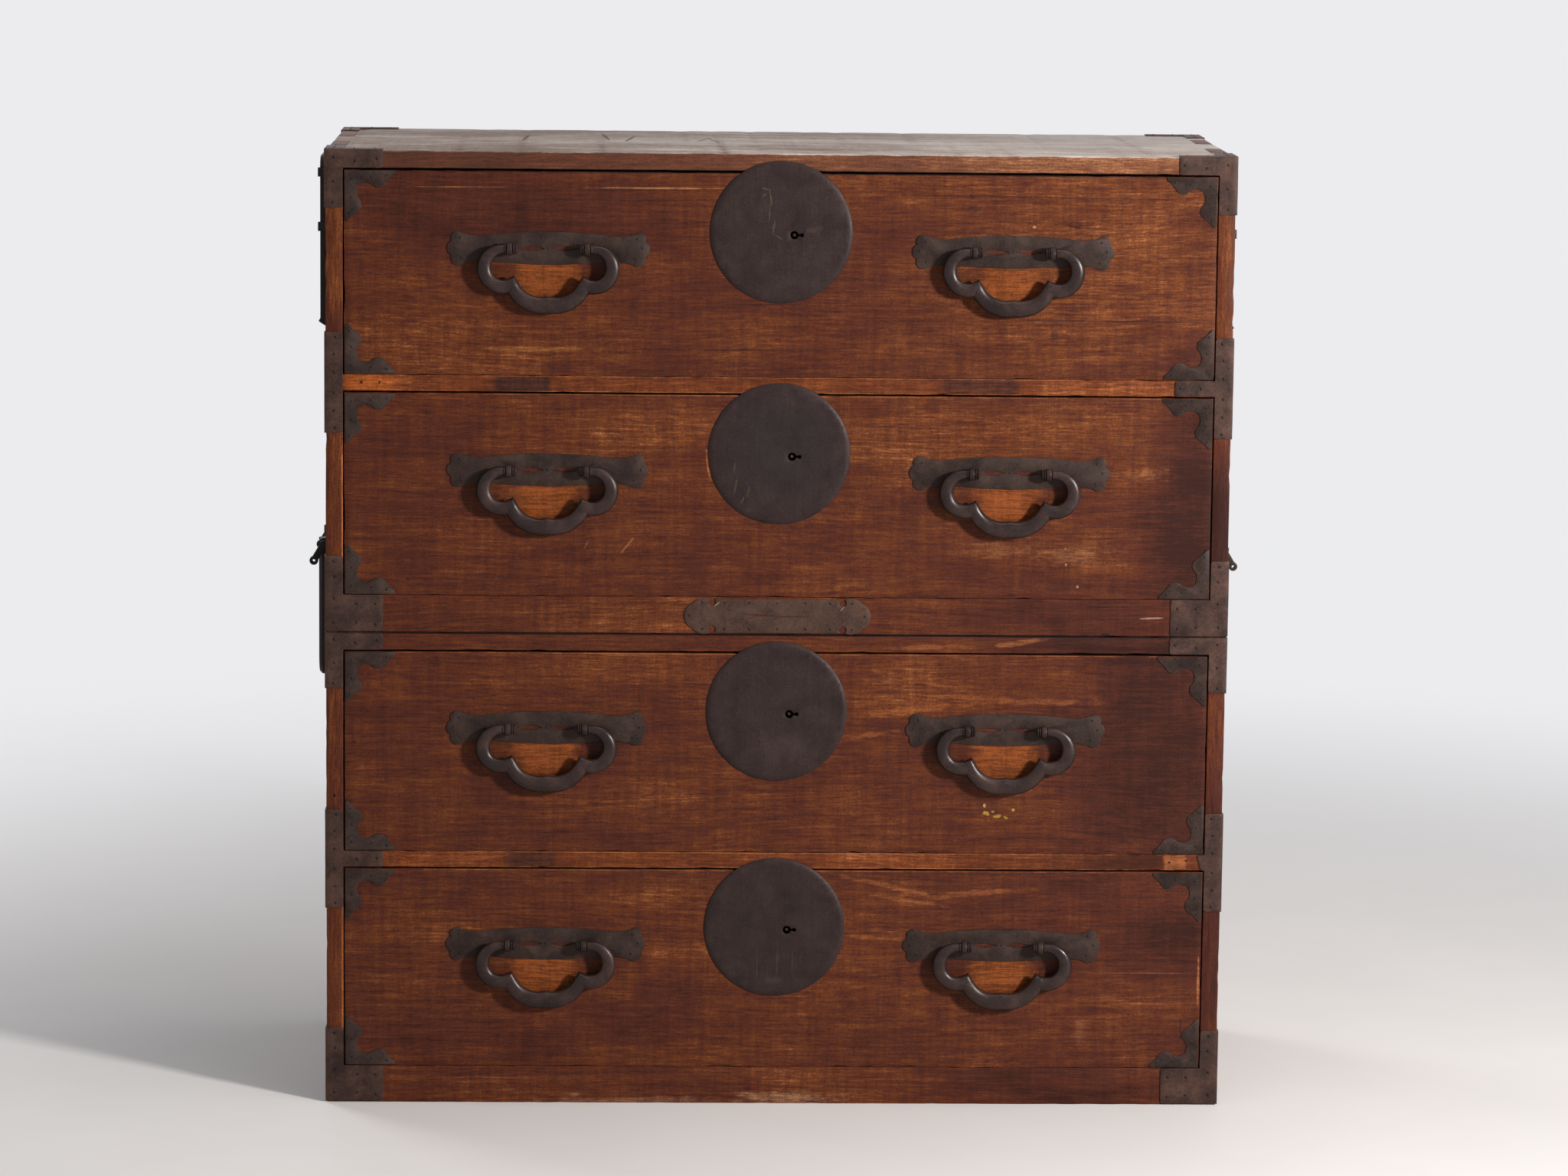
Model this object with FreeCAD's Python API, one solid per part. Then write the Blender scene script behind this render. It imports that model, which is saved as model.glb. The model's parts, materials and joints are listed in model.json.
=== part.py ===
import FreeCAD, Part
import math
import os

V = FreeCAD.Vector
os.makedirs("parts", exist_ok=True)

# Overall size: a clothes chest of two stacked sections, measured over its corner irons
overall_w = 1060.0
overall_h = 1129.0
case_depth = 430.0

# Boards of each section
side_t = 20.0
top_t = 20.5
rail_h = 19.0
rail_d = 48.0
base_h = 44.5
base_rail_t = 22.0
bottom_t = 14.0
shelf_t = 10.0
shelf_lap = 8.0
housing_depth = 6.0
finger_count = 5
back_t = 9.0
back_rebate = 10.0
back_board_count = 6
back_seam = 0.6

# Iron straps and corners on the case
iron_t = 1.5
iron_leg = 66.5
iron_wrap = 20.0
iron_lift = 1.5
strap_reach = 49.5
foot_reach = 46.0
broken_branch = 9.0
broken_slant = 5.0

# Drawer fronts and boxes
front_proud = 0.3
front_t = 22.0
drawer_run_gap = 0.3
drawer_top_gap = 2.0
drawer_side_gap = 1.4
front_lap = 12.0
box_side_t = 12.0
box_back_t = 10.0
box_bottom_t = 7.0
box_top_drop = 7.0
box_back_gap = 8.0
drawer_finger_count = 3

# Lobed iron corners on the drawer fronts
corner_len = 58.5
corner_t = 1.2
corner_inset = 0.8

# Round lock plate, lock case and bolt
lock_r = 83.0
lock_t = 2.4
lock_rim_t = 1.0
lock_bevel = 4.0
lock_overlap = 12.5
keyhole_x = 15.0
keyhole_drop = 3.0
keyhole_r = 4.8
key_slot_len = 8.6
key_slot_h = 2.6
key_slot_end_r = 2.3
key_bore_r = 12.0
key_post_r = 2.0
key_post_sink = 1.0
lock_case_w = 84.0
lock_case_h = 98.0
lock_case_d = 16.0
lock_case_drop = 2.0
lock_wall = 2.0
ward_r = 11.0
bolt_w = 26.0
bolt_d = 7.0
bolt_x = -14.0
bolt_foot = 40.0
bolt_fit = 0.3
bolt_throw = 12.0
mortise_clear = 1.5

# Drawer handles: lobed back plate, two split pins and a three-lobed bail
handle_x = 270.0
eye_drop = 91.5
handle_plate_half = 117.5
handle_plate_rise = 19.0
handle_plate_t = 1.6
eye_x = 45.0
eye_out = 13.0
eye_r = 7.5
eye_w = 6.0
pin_leg = 5.0
clinch_t = 1.6
clinch_len = 20.0
pintle_r = 3.5
pintle_fit = 0.08
bead_r = 6.6
bead_w = 5.4
collar_r = 6.2
collar_w = 2.4
eye_gap = 0.4
slot_near = 4.5
slot_far = 35.0
slot_h = 5.5
shoulder_x = 54.0
bail_half_w = 74.2
bail_side_drop = 18.5
bail_waist_x = 43.5
bail_waist_drop = 40.5
bail_drop = 65.7
bail_r_eye = 5.0
bail_r_side = 8.4
bail_r_waist = 7.3
bail_r_bottom = 9.3
bail_d_eye = 4.6
bail_d_side = 6.2
bail_d_waist = 6.2
bail_d_bottom = 7.0
bail_flat_share = 0.5
side_stations = 9
lobe_stations = 6

# Plate on the upper base rail
name_half = 109.5
name_h = 40.0
name_t = 1.5
name_notch_share = 0.70
name_notch_w = 5.0
name_notch_depth = 8.0
name_lobe_share = 0.75

# Sliding pole loops on the sides of the upper section
loop_half = 85.0
loop_t = 7.0
loop_d = 10.8
loop_gap = 2.6
loop_bend_r = 14.0
loop_foot_h = 9.0
loop_foot_flare = 2.4
loop_foot_share = 0.62
loop_len = 201.2
loop_below_top = 21.8
band_t = 2.2
band_h = 10.5
band_fit = 0.3
band_flange = 12.0
band_spacing = 64.2

# Swinging side bails, hung on the upper section over the joint
side_bail_half = 65.0
side_bail_above_joint = 84.0
side_eye_out = 11.0
side_eye_r = 7.0
side_eye_w = 7.0
side_pintle_r = 4.0
side_bar_r = 6.3
side_bail_len = 156.0
side_bend_r = 18.0
side_bend_stations = 5
side_flat_share = 0.414
side_pin_leg = 6.0
side_pin_blind = 4.0
seat_r = 11.0
seat_t = 1.5
curl_t = 6.0
curl_root_r = 5.0
curl_tip_r = 5.2
curl_arm_share = 0.8
curl_hole_r = 1.6
curl_out = 11.5
curl_drop = 19.5

# Places that follow from the sizes
case_w = overall_w - 2 * iron_t
section_h = (overall_h - iron_t) / 2
inner_w = case_w - 2 * side_t
opening_h = (section_h - top_t - rail_h - base_h) / 2
handle_reach = front_proud + eye_out + eye_r
y_front = (handle_reach - case_depth - iron_t) / 2
y_back = y_front + case_depth
y_mid = y_front + case_depth / 2
x_out = case_w / 2
x_in = inner_w / 2
y_face = y_front - front_proud
front_w = inner_w - 2 * drawer_side_gap
front_h = opening_h - drawer_run_gap - drawer_top_gap
y_inner = y_face + front_t
y_box_back = y_back - back_t - box_back_gap
joint_z = section_h
section_floor = {"upper": section_h, "lower": 0}
drawer_section = {1: "upper", 2: "upper", 3: "lower", 4: "lower"}


def box(x0, x1, y0, y1, z0, z1):
    """Makes a box between two corners."""
    return Part.makeBox(x1 - x0, y1 - y0, z1 - z0, V(x0, y0, z0))


def joined(shapes):
    """Fuses shapes into one solid with clean faces."""
    return shapes[0].multiFuse(shapes[1:]).removeSplitter()


def mirrored_x(shape):
    """Mirrors a shape to the other side of the chest."""
    return shape.mirror(V(0, 0, 0), V(1, 0, 0))


def export(name, *solids):
    """Writes one node, a single solid or a group of separate ones."""
    shape = solids[0] if len(solids) == 1 else Part.makeCompound(list(solids))
    shape.exportStep("parts/" + name + ".step")


def opening_floor(drawer):
    """Gives the height of the board that a drawer runs on."""
    low = section_floor[drawer_section[drawer]] + base_h
    is_high = drawer % 2 == 1
    return low + (opening_h + rail_h if is_high else 0)


def plate(edges, thickness):
    """Makes a flat plate from an outline in the XZ plane, standing forward of y = 0."""
    face = Part.Face(Part.Wire(edges))
    return face.extrude(V(0, -thickness, 0))


def outline(steps):
    """Joins points by lines, or by an arc where a step also holds a point on the way."""
    edges = []
    here = steps[0][0]
    for step in steps[1:]:
        if len(step) == 1:
            edges.append(Part.makeLine(V(here[0], 0, here[1]), V(step[0][0], 0, step[0][1])))
            here = step[0]
            continue
        way, end = step
        points = [V(p[0], 0, p[1]) for p in (here, way, end)]
        edges.append(Part.Arc(*points).toShape())
        here = end
    return edges


def mirrored_outline(steps):
    """Follows an outline and then its mirror image back to the start."""
    flip = [[(-p[0], p[1]) for p in step] for step in steps]
    back = []
    for index in range(len(flip) - 1, 0, -1):
        way = flip[index][:-1]
        back.append(way + [flip[index - 1][-1]])
    return outline(steps + back)


# Case boards

def finger_cuts(x0, x1, z0, z1, first):
    """Makes every second finger of a corner joint along the depth of the case."""
    step = case_depth / finger_count
    places = range(first, finger_count, 2)
    return [box(x0, x1, y_front + i * step, y_front + (i + 1) * step, z0, z1) for i in places]


def mortise(z_board, z_end):
    """Makes the bolt mortise cut up into a board above a drawer."""
    y0 = y_inner + lock_wall + bolt_fit - mortise_clear
    half = bolt_w / 2 + mortise_clear
    y1 = y_inner + lock_wall + bolt_fit + bolt_d + mortise_clear
    return box(bolt_x - half, bolt_x + half, y0, y1, z_board, z_end)


def mortise_depth():
    """Gives how deep the thrown bolt reaches into the board above, with clearance."""
    return bolt_throw - lock_case_drop - drawer_top_gap + mortise_clear


def side_boards(section):
    """Makes the two side boards with their housings, rebates and corner fingers."""
    z0 = section_floor[section]
    z_top = z0 + section_h
    z_shelf = z0 + base_h + opening_h + rail_h
    z_bottom = z0 + base_h
    board = box(x_in, x_out, y_front, y_back, z0, z_top)
    x_house = x_in + housing_depth
    cuts = finger_cuts(x_in, x_out, z_top - top_t, z_top, 0)
    cuts.append(box(x_in, x_house, y_front + base_rail_t, y_back - back_t, z_bottom - bottom_t, z_bottom))
    cuts.append(box(x_in, x_house, y_front, y_front + base_rail_t, z0, z_bottom))
    cuts.append(box(x_in, x_house, y_front, y_front + rail_d, z_shelf - rail_h, z_shelf))
    cuts.append(box(x_in, x_house, y_front + rail_d, y_back - back_t, z_shelf - shelf_t, z_shelf))
    cuts.append(box(x_in, x_in + back_rebate, y_back - back_t, y_back, z0, z_top))
    if section == "upper":
        cuts += side_pin_holes()
    right = board.cut(cuts)
    export(section + "_sides", mirrored_x(right), right)


def top_board(section):
    """Makes the top board, finger-jointed over the side boards."""
    z1 = section_floor[section] + section_h
    z0 = z1 - top_t
    board = box(-x_out, x_out, y_front, y_back, z0, z1)
    right = finger_cuts(x_in, x_out, z0, z1, 1)
    cuts = right + [mirrored_x(c) for c in right]
    half = x_in + back_rebate
    cuts.append(box(-half, half, y_back - back_t, y_back, z0, z0 + back_rebate))
    cuts.append(mortise(z0, z0 + mortise_depth()))
    export(section + "_top", board.cut(cuts))


def bottom_board(section):
    """Makes the bottom board, housed in the sides behind the base rail."""
    z1 = section_floor[section] + base_h
    half = x_in + housing_depth
    board = box(-half, half, y_front + base_rail_t, y_back - back_t, z1 - bottom_t, z1)
    export(section + "_bottom", board)


def base_rail(section):
    """Makes the deep rail under the lowest drawer of a section."""
    z0 = section_floor[section]
    half = x_in + housing_depth
    export(section + "_base_rail", box(-half, half, y_front, y_front + base_rail_t, z0, z0 + base_h))


def divider(section):
    """Makes the rail between two drawers and the dust shelf lapped into it."""
    z1 = section_floor[section] + base_h + opening_h + rail_h
    z0 = z1 - rail_h
    half = x_in + housing_depth
    y_lap = y_front + rail_d - shelf_lap
    rail = box(-half, half, y_front, y_front + rail_d, z0, z1)
    lap = box(-half, half, y_lap, y_front + rail_d, z1 - shelf_t, z1)
    rail = rail.cut([lap, mortise(z0, z0 + mortise_depth())])
    export(section + "_rail", rail)
    export(section + "_shelf", box(-half, half, y_lap, y_back - back_t, z1 - shelf_t, z1))


def back_boards(section):
    """Makes the upright back boards, set in rebates of the sides and top."""
    z0 = section_floor[section]
    z1 = z0 + section_h - top_t + back_rebate
    half = x_in + back_rebate
    pitch = (2 * half + back_seam) / back_board_count
    boards = []
    for i in range(back_board_count):
        x0 = -half + i * pitch
        boards.append(box(x0, x0 + pitch - back_seam, y_back - back_t, y_back, z0, z1))
    export(section + "_back", *boards)


# Irons on the case

def strap(z0, z1, leg, leg_z0, leg_z1):
    """Makes a right-hand strap round a front edge, with an optional branch on a rail."""
    y0 = y_front - iron_t
    pieces = [box(x_in, x_out + iron_t, y0, y_front, z0, z1)]
    pieces.append(box(x_out, x_out + iron_t, y0, y_front + iron_wrap, z0, z1))
    if leg:
        pieces.append(box(x_out - leg, x_out, y0, y_front, leg_z0, leg_z1))
    return joined(pieces)


def top_corner(z_top):
    """Makes a right-hand top corner iron over the front, side and top boards."""
    y0 = y_front - iron_t
    x1 = x_out + iron_t
    z1 = z_top + iron_t
    pieces = [strap(z_top - iron_leg, z_top, iron_leg, z_top - top_t, z_top)]
    pieces.append(box(x_out - iron_leg, x1, y0, y_front + iron_wrap, z_top, z1))
    pieces.append(box(x_out - iron_wrap, x1, y0, y_front + iron_leg, z_top, z1))
    pieces.append(box(x_out, x1, y0, y_front + iron_leg, z_top - iron_wrap, z1))
    return joined(pieces)


def to_back(shape):
    """Mirrors a front piece to the back of the case."""
    return shape.mirror(V(0, y_mid, 0), V(0, 1, 0))


def broken_strap(z0, z1, rail_z0, rail_z1):
    """Makes a right-hand strap whose branch has broken off short, on a slant."""
    whole = strap(z0, z1, side_t + broken_branch, rail_z0, rail_z1)
    x0 = x_out - side_t - broken_branch
    y0 = y_front - iron_t
    corners = [V(x0, y0, rail_z0), V(x0 + broken_slant, y0, rail_z0), V(x0, y0, rail_z1)]
    wedge = Part.Face(Part.makePolygon(corners + corners[:1])).extrude(V(0, iron_t, 0))
    return whole.cut(wedge)


def case_irons(section):
    """Makes the corner irons and mid straps of a section."""
    z0 = section_floor[section]
    z_top = z0 + section_h
    rail_z0 = z0 + base_h + opening_h
    rail_z1 = rail_z0 + rail_h
    strap_z0 = rail_z0 - strap_reach
    strap_z1 = rail_z1 + strap_reach
    foot_z0 = z0 + iron_lift
    foot = strap(foot_z0, z0 + base_h + foot_reach, iron_leg, foot_z0, z0 + base_h)
    full = strap(strap_z0, strap_z1, iron_leg, rail_z0, rail_z1)
    if section == "upper":
        head = top_corner(z_top)
        bare = strap(strap_z0, strap_z1, 0, 0, 0)
        pieces = [head, mirrored_x(head), to_back(head), to_back(mirrored_x(head))]
        pieces += [full, mirrored_x(bare)]
    else:
        head = strap(z_top - iron_leg, z_top, iron_leg, z_top - top_t, z_top)
        broken = broken_strap(strap_z0, strap_z1, rail_z0, rail_z1)
        pieces = [head, mirrored_x(head), broken, mirrored_x(full)]
    pieces += [foot, mirrored_x(foot)]
    export(section + "_irons", *pieces)


def name_plate():
    """Makes the bare plate with notched, lobed ends on the upper base rail."""
    h = name_h / 2
    notch = name_half * name_notch_share
    half_notch = name_notch_w / 2
    lobe_x = (notch + name_half) / 2
    lobe_end = name_half - h / 2
    lobe_h = h * name_lobe_share
    right = [
        [(0, h)],
        [(notch - half_notch, h)],
        [(notch, h - name_notch_depth), (notch + half_notch, h)],
        [(lobe_x, h), (lobe_end, lobe_h)],
        [(name_half, 0), (lobe_end, -lobe_h)],
        [(lobe_x, -h), (notch + half_notch, -h)],
        [(notch, name_notch_depth - h), (notch - half_notch, -h)],
        [(0, -h)],
    ]
    z_mid = section_floor["upper"] + base_h / 2
    export("name_plate", plate(mirrored_outline(right), name_t).translated(V(0, y_front, z_mid)))


# Drawers

def drawer_front(drawer):
    """Makes a drawer front with laps for the box and holes for lock and handles."""
    z0 = opening_floor(drawer) + drawer_run_gap
    half = front_w / 2
    board = box(-half, half, y_face, y_inner, z0, z0 + front_h)
    y_lap = y_inner - front_lap
    z_side = z0 + front_h - box_top_drop
    right = box(half - box_side_t, half, y_lap, y_inner, z0, z_side)
    under = box(-half, half, y_lap, y_inner, z0, z0 + box_bottom_t)
    bore = Part.makeCylinder(key_bore_r, front_t, V(keyhole_x, y_face, keyhole_z(drawer)), V(0, 1, 0))
    cuts = [right, mirrored_x(right), under, bore] + pin_holes(drawer)
    export(drawer_name(drawer, "front"), board.cut(cuts))


def drawer_name(drawer, piece):
    """Names a piece of one drawer."""
    return "drawer_" + str(drawer) + "_" + piece


def drawer_box(drawer):
    """Makes a drawer's two sides, back and bottom as four boards."""
    z0 = opening_floor(drawer) + drawer_run_gap
    z_bed = z0 + box_bottom_t
    z_rim = z0 + front_h - box_top_drop
    half = front_w / 2
    y_lap = y_inner - front_lap
    step = (z_rim - z_bed) / drawer_finger_count
    y_tail = y_box_back - box_back_t
    middle = box(half - box_side_t, half, y_tail, y_box_back, z_bed + step, z_rim - step)
    side = box(half - box_side_t, half, y_lap, y_tail, z_bed, z_rim).fuse(middle).removeSplitter()
    back = box(-half, half, y_tail, y_box_back, z_bed, z_rim).cut([middle, mirrored_x(middle)])
    bottom = box(-half, half, y_lap, y_box_back, z0, z_bed)
    export(drawer_name(drawer, "box"), mirrored_x(side), side, back, bottom)


def corner_outline():
    """Gives a lobed corner plate, its right angle at the origin and its arms along -X and -Z."""
    shares = {"tip": 0.06, "slope_far": 0.905, "slope_depth": 0.14, "lobe_far": 0.80, "lobe_in": 0.55,
              "lobe_depth": 0.275, "lobe_out": 0.68, "lobe_peak": 0.335, "neck_out": 0.40, "neck": 0.24,
              "elbow": 0.285}
    s = {name: share * corner_len for name, share in shares.items()}
    arm = [
        [(-corner_len, 0)],
        [(-corner_len, -s["tip"])],
        [(-s["slope_far"], -s["slope_depth"]), (-s["lobe_far"], -s["lobe_depth"])],
        [(-s["lobe_out"], -s["lobe_peak"]), (-s["lobe_in"], -s["lobe_depth"])],
        [(-s["neck_out"], -s["neck"]), (-s["elbow"], -s["elbow"])],
    ]
    other = []
    swapped = [[(p[1], p[0]) for p in step] for step in arm]
    for index in range(len(swapped) - 1, 0, -1):
        other.append(swapped[index][:-1] + [swapped[index - 1][-1]])
    return outline([[(0, 0)], [arm[0][0]]] + arm[1:] + other + [[(0, 0)]])


def drawer_corners(drawer):
    """Makes the four lobed corner plates of a drawer front."""
    z0 = opening_floor(drawer) + drawer_run_gap
    z_mid = z0 + front_h / 2
    x1 = front_w / 2 - corner_inset
    z1 = z0 + front_h - corner_inset
    right = plate(corner_outline(), corner_t).translated(V(x1, y_face, z1))
    low = right.mirror(V(0, 0, z_mid), V(0, 0, 1))
    export(drawer_name(drawer, "corner_plates"), right, mirrored_x(right), low, mirrored_x(low))


# Locks

def lock_z(drawer):
    """Gives the height of a lock plate's centre, its rim over the board above."""
    return opening_floor(drawer) + opening_h + lock_overlap - lock_r


def keyhole_z(drawer):
    """Gives the height of a keyhole, a little under the centre of its plate."""
    return lock_z(drawer) - keyhole_drop


def lock_plate(drawer):
    """Makes the round lock plate with its bevelled rim and keyhole."""
    profile = [V(0, 0, 0), V(lock_r, 0, 0), V(lock_r, -lock_rim_t, 0), V(lock_r - lock_bevel, -lock_t, 0),
               V(0, -lock_t, 0), V(0, 0, 0)]
    disc = Part.Face(Part.makePolygon(profile)).revolve(V(0, 0, 0), V(0, 1, 0), 360)
    disc = disc.translated(V(0, y_face, lock_z(drawer)))
    z = keyhole_z(drawer)
    y0 = y_face - lock_t
    hole = Part.makeCylinder(keyhole_r, lock_t, V(keyhole_x, y0, z), V(0, 1, 0))
    x_end = keyhole_x + key_slot_len
    slot = box(keyhole_x, x_end, y0, y_face, z - key_slot_h / 2, z + key_slot_h / 2)
    slot_end = Part.makeCylinder(key_slot_end_r, lock_t, V(x_end, y0, z), V(0, 1, 0))
    export(drawer_name(drawer, "lock_plate"), disc.cut([hole, slot, slot_end]))


def lock_case(drawer):
    """Makes the lock case behind the front, with its bolt channel, ward space and key post."""
    z1 = opening_floor(drawer) + drawer_run_gap + front_h - lock_case_drop
    half = lock_case_w / 2
    y1 = y_inner + lock_case_d
    body = box(-half, half, y_inner, y1, z1 - lock_case_h, z1)
    reach = bolt_w / 2 + bolt_fit
    channel_y1 = y_inner + lock_wall + bolt_d + 2 * bolt_fit
    z_foot = z1 - lock_case_h + bolt_foot
    channel = box(bolt_x - reach, bolt_x + reach, y_inner + lock_wall, channel_y1, z_foot, z1)
    z = keyhole_z(drawer)
    ward_d = lock_case_d - lock_wall
    ward = Part.makeCylinder(ward_r, ward_d, V(keyhole_x, y_inner, z), V(0, 1, 0))
    y_tip = y_face + key_post_sink
    post = Part.makeCylinder(key_post_r, y1 - y_tip, V(keyhole_x, y_tip, z), V(0, 1, 0))
    export(drawer_name(drawer, "lock_case"), body.cut([channel, ward]).fuse(post).removeSplitter())


def lock_bolt(drawer):
    """Makes the bolt, drawn down inside its channel, with a bevelled head."""
    z1 = opening_floor(drawer) + drawer_run_gap + front_h - lock_case_drop
    y0 = y_inner + lock_wall + bolt_fit
    z_foot = z1 - lock_case_h + bolt_foot + bolt_fit
    x0 = bolt_x - bolt_w / 2
    bevel = bolt_d / 2
    side = [V(x0, y0, z_foot), V(x0, y0 + bolt_d, z_foot), V(x0, y0 + bolt_d, z1), V(x0, y0 + bevel, z1),
            V(x0, y0, z1 - bevel), V(x0, y0, z_foot)]
    export(drawer_name(drawer, "lock_bolt"), Part.Face(Part.makePolygon(side)).extrude(V(bolt_w, 0, 0)))


# Drawer handles

def eye_z(drawer):
    """Gives the height of a drawer's handle axes."""
    return opening_floor(drawer) + opening_h - eye_drop


def handle_places():
    """Gives the left and right handle centres along X."""
    return {"left": -handle_x, "right": handle_x}


def pin_holes(drawer):
    """Makes the square holes that the split pins pass through in a drawer front."""
    half = pin_leg / 2
    z = eye_z(drawer)
    holes = []
    for centre in handle_places().values():
        for x in (centre - eye_x, centre + eye_x):
            holes.append(box(x - half, x + half, y_face, y_inner, z - half, z + half))
    return holes


def handle_plate_outline():
    """Gives the wavy back plate with its flared ends of three lobes."""
    a = handle_plate_half
    b = handle_plate_rise
    right_shares = [
        [(0.0, 1.0)],
        [(0.36, 0.95), (0.66, 0.76)],
        [(0.76, 0.79), (0.86, 0.94)],
        [(0.94, 0.92), (0.955, 0.45)],
        [(1.0, 0.0), (0.955, -0.45)],
        [(0.94, -0.95), (0.84, -0.96)],
        [(0.74, -0.83), (0.64, -0.75)],
        [(0.34, -0.92), (0.0, -1.0)],
    ]
    return mirrored_outline([[(p[0] * a, p[1] * b) for p in step] for step in right_shares])


def plate_slot():
    """Makes the pierced leaf-shaped slot on the right of a back plate's middle."""
    x_mid = (slot_near + slot_far) / 2
    upper = [(x_mid, slot_h / 2), (slot_far, 0)]
    lower = [(x_mid, -slot_h / 2), (slot_near, 0)]
    return plate(outline([[(slot_near, 0)], upper, lower]), handle_plate_t)


def split_pin():
    """Makes a split pin: an eye, a shank through the front and two clinched legs."""
    half = pin_leg / 2
    ring = Part.makeCylinder(eye_r, eye_w, V(-eye_w / 2, -eye_out, 0), V(1, 0, 0))
    shank = box(-half, half, -eye_out, front_t + clinch_t, -half, half)
    clinch = box(-half, half, front_t, front_t + clinch_t, -clinch_len, clinch_len)
    bore = Part.makeCylinder(pintle_r + pintle_fit, eye_w, V(-eye_w / 2, -eye_out, 0), V(1, 0, 0))
    return joined([ring, shank, clinch]).cut(bore)


def handle_plates(drawer):
    """Makes the two back plates of a drawer and the four split pins through them."""
    half = pin_leg / 2
    solids = []
    for centre in handle_places().values():
        back = plate(handle_plate_outline(), handle_plate_t)
        holes = [box(x - half, x + half, -handle_plate_t, 0, -half, half) for x in (-eye_x, eye_x)]
        holes += [plate_slot(), mirrored_x(plate_slot())]
        place = V(centre, y_face, eye_z(drawer))
        solids.append(back.cut(holes).translated(place))
        solids += [split_pin().translated(place + V(x, 0, 0)) for x in (-eye_x, eye_x)]
    export(drawer_name(drawer, "handle_plates"), *solids)


def bar_section(x, z, nx, nz, a, b, flat_share):
    """Makes one eight-sided section of a forged bar, a across the normal and b deep."""
    flat_a = a * flat_share
    flat_b = b * flat_share
    corners = [(a, flat_b), (flat_a, b), (-flat_a, b), (-a, flat_b), (-a, -flat_b), (-flat_a, -b),
               (flat_a, -b), (a, -flat_b)]
    points = [V(x + nx * p, q, z + nz * p) for p, q in corners]
    return Part.makePolygon(points + points[:1])


def forged_bar(right, flat_share):
    """Lofts a bar through its right-hand stations and their mirror images."""
    left = [(-x, z, -nx, nz, a, b) for x, z, nx, nz, a, b in reversed(right)]
    ends_in_middle = abs(right[-1][0]) < right[-1][4]
    if ends_in_middle:
        left = left[1:]
    return Part.makeLoft([bar_section(*s, flat_share) for s in right + left], True, True)


def arc_stations(arc, count, sizes):
    """Spreads bar sections along an arc, running through sizes given at even steps along it."""
    stations = []
    first, last = arc.FirstParameter, arc.LastParameter
    steps = len(sizes) - 1
    for i in range(count + 1):
        at = first + (last - first) * i / count
        point = arc.valueAt(at)
        heading = arc.tangentAt(at)
        step = min(i * steps // count, steps - 1)
        share = i * steps / count - step
        size = [p + (q - p) * share for p, q in zip(sizes[step], sizes[step + 1])]
        stations.append((point.x, point.z, -heading.z, heading.x, size[0], size[1]))
    return stations


def mitred(before, after):
    """Makes the shared section where two stretches of the bar meet at a corner."""
    nx, nz = before[2] + after[2], before[3] + after[3]
    length = math.hypot(nx, nz)
    nx, nz = nx / length, nz / length
    widen = 1 / (nx * before[2] + nz * before[3])
    return (before[0], before[1], nx, nz, before[4] * widen, before[5])


def turned_end(x_start):
    """Turns the right-hand end of a bail: a collar, a pintle through the eye and a double bead."""
    x_bead = eye_x - eye_w / 2 - eye_gap
    shares = [(0.0, 0.8), (0.1, 1.0), (0.38, 1.0), (0.5, 0.72), (0.62, 0.92), (0.86, 0.92), (1.0, 0.6)]
    profile = [(x_start + collar_w, 0), (x_start + collar_w, collar_r), (x_start, collar_r),
               (x_start, pintle_r), (x_bead, pintle_r)]
    profile += [(x_bead - far * bead_w, wide * bead_r) for far, wide in shares]
    profile.append((x_bead - bead_w, 0))
    points = [V(x, 0, z) for x, z in profile]
    return Part.Face(Part.makePolygon(points + points[:1])).revolve(V(0, 0, 0), V(1, 0, 0), 360)


def bail():
    """Makes a three-lobed bail about its own axis, with turned ends."""
    eye_size = (bail_r_eye, bail_d_eye)
    side_size = (bail_r_side, bail_d_side)
    waist_size = (bail_r_waist, bail_d_waist)
    bottom_size = (bail_r_bottom, bail_d_bottom)
    shoulder = V(shoulder_x, 0, 0)
    outer = V(bail_half_w, 0, -bail_side_drop)
    waist = V(bail_waist_x, 0, -bail_waist_drop)
    bottom = V(0, 0, -bail_drop)
    lobe_r = (bail_waist_x ** 2 + (bail_drop - bail_waist_drop) ** 2) / 2 / (bail_drop - bail_waist_drop)
    half_turn = math.asin(bail_waist_x / lobe_r) / 2
    lobe_way = V(lobe_r * math.sin(half_turn), 0, lobe_r - bail_drop - lobe_r * math.cos(half_turn))
    side_arc = Part.Arc(shoulder, outer, waist).toShape()
    lobe_arc = Part.Arc(waist, lobe_way, bottom).toShape()
    side = arc_stations(side_arc, side_stations, [eye_size, side_size, waist_size])
    lobe = arc_stations(lobe_arc, lobe_stations, [waist_size, bottom_size])
    x_start = eye_x + eye_w / 2 + eye_gap
    start = (x_start, 0, 0, 1, bail_r_eye, bail_d_eye)
    right = [start] + side[:-1] + [mitred(side[-1], lobe[0])] + lobe[1:]
    bar = forged_bar(right, bail_flat_share)
    end = turned_end(x_start)
    return joined([bar, end, mirrored_x(end)])


def drawer_handles(drawer, shape):
    """Hangs a bail on each pair of split pins of a drawer."""
    for side, centre in handle_places().items():
        place = V(centre, y_face - eye_out, eye_z(drawer))
        export(drawer_name(drawer, "handle_" + side), shape.translated(place))


# Pole loops

def loop_crown_z():
    """Gives the height of the underside of a pole loop's crossbar at rest."""
    return section_floor["upper"] + section_h - loop_below_top


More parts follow.
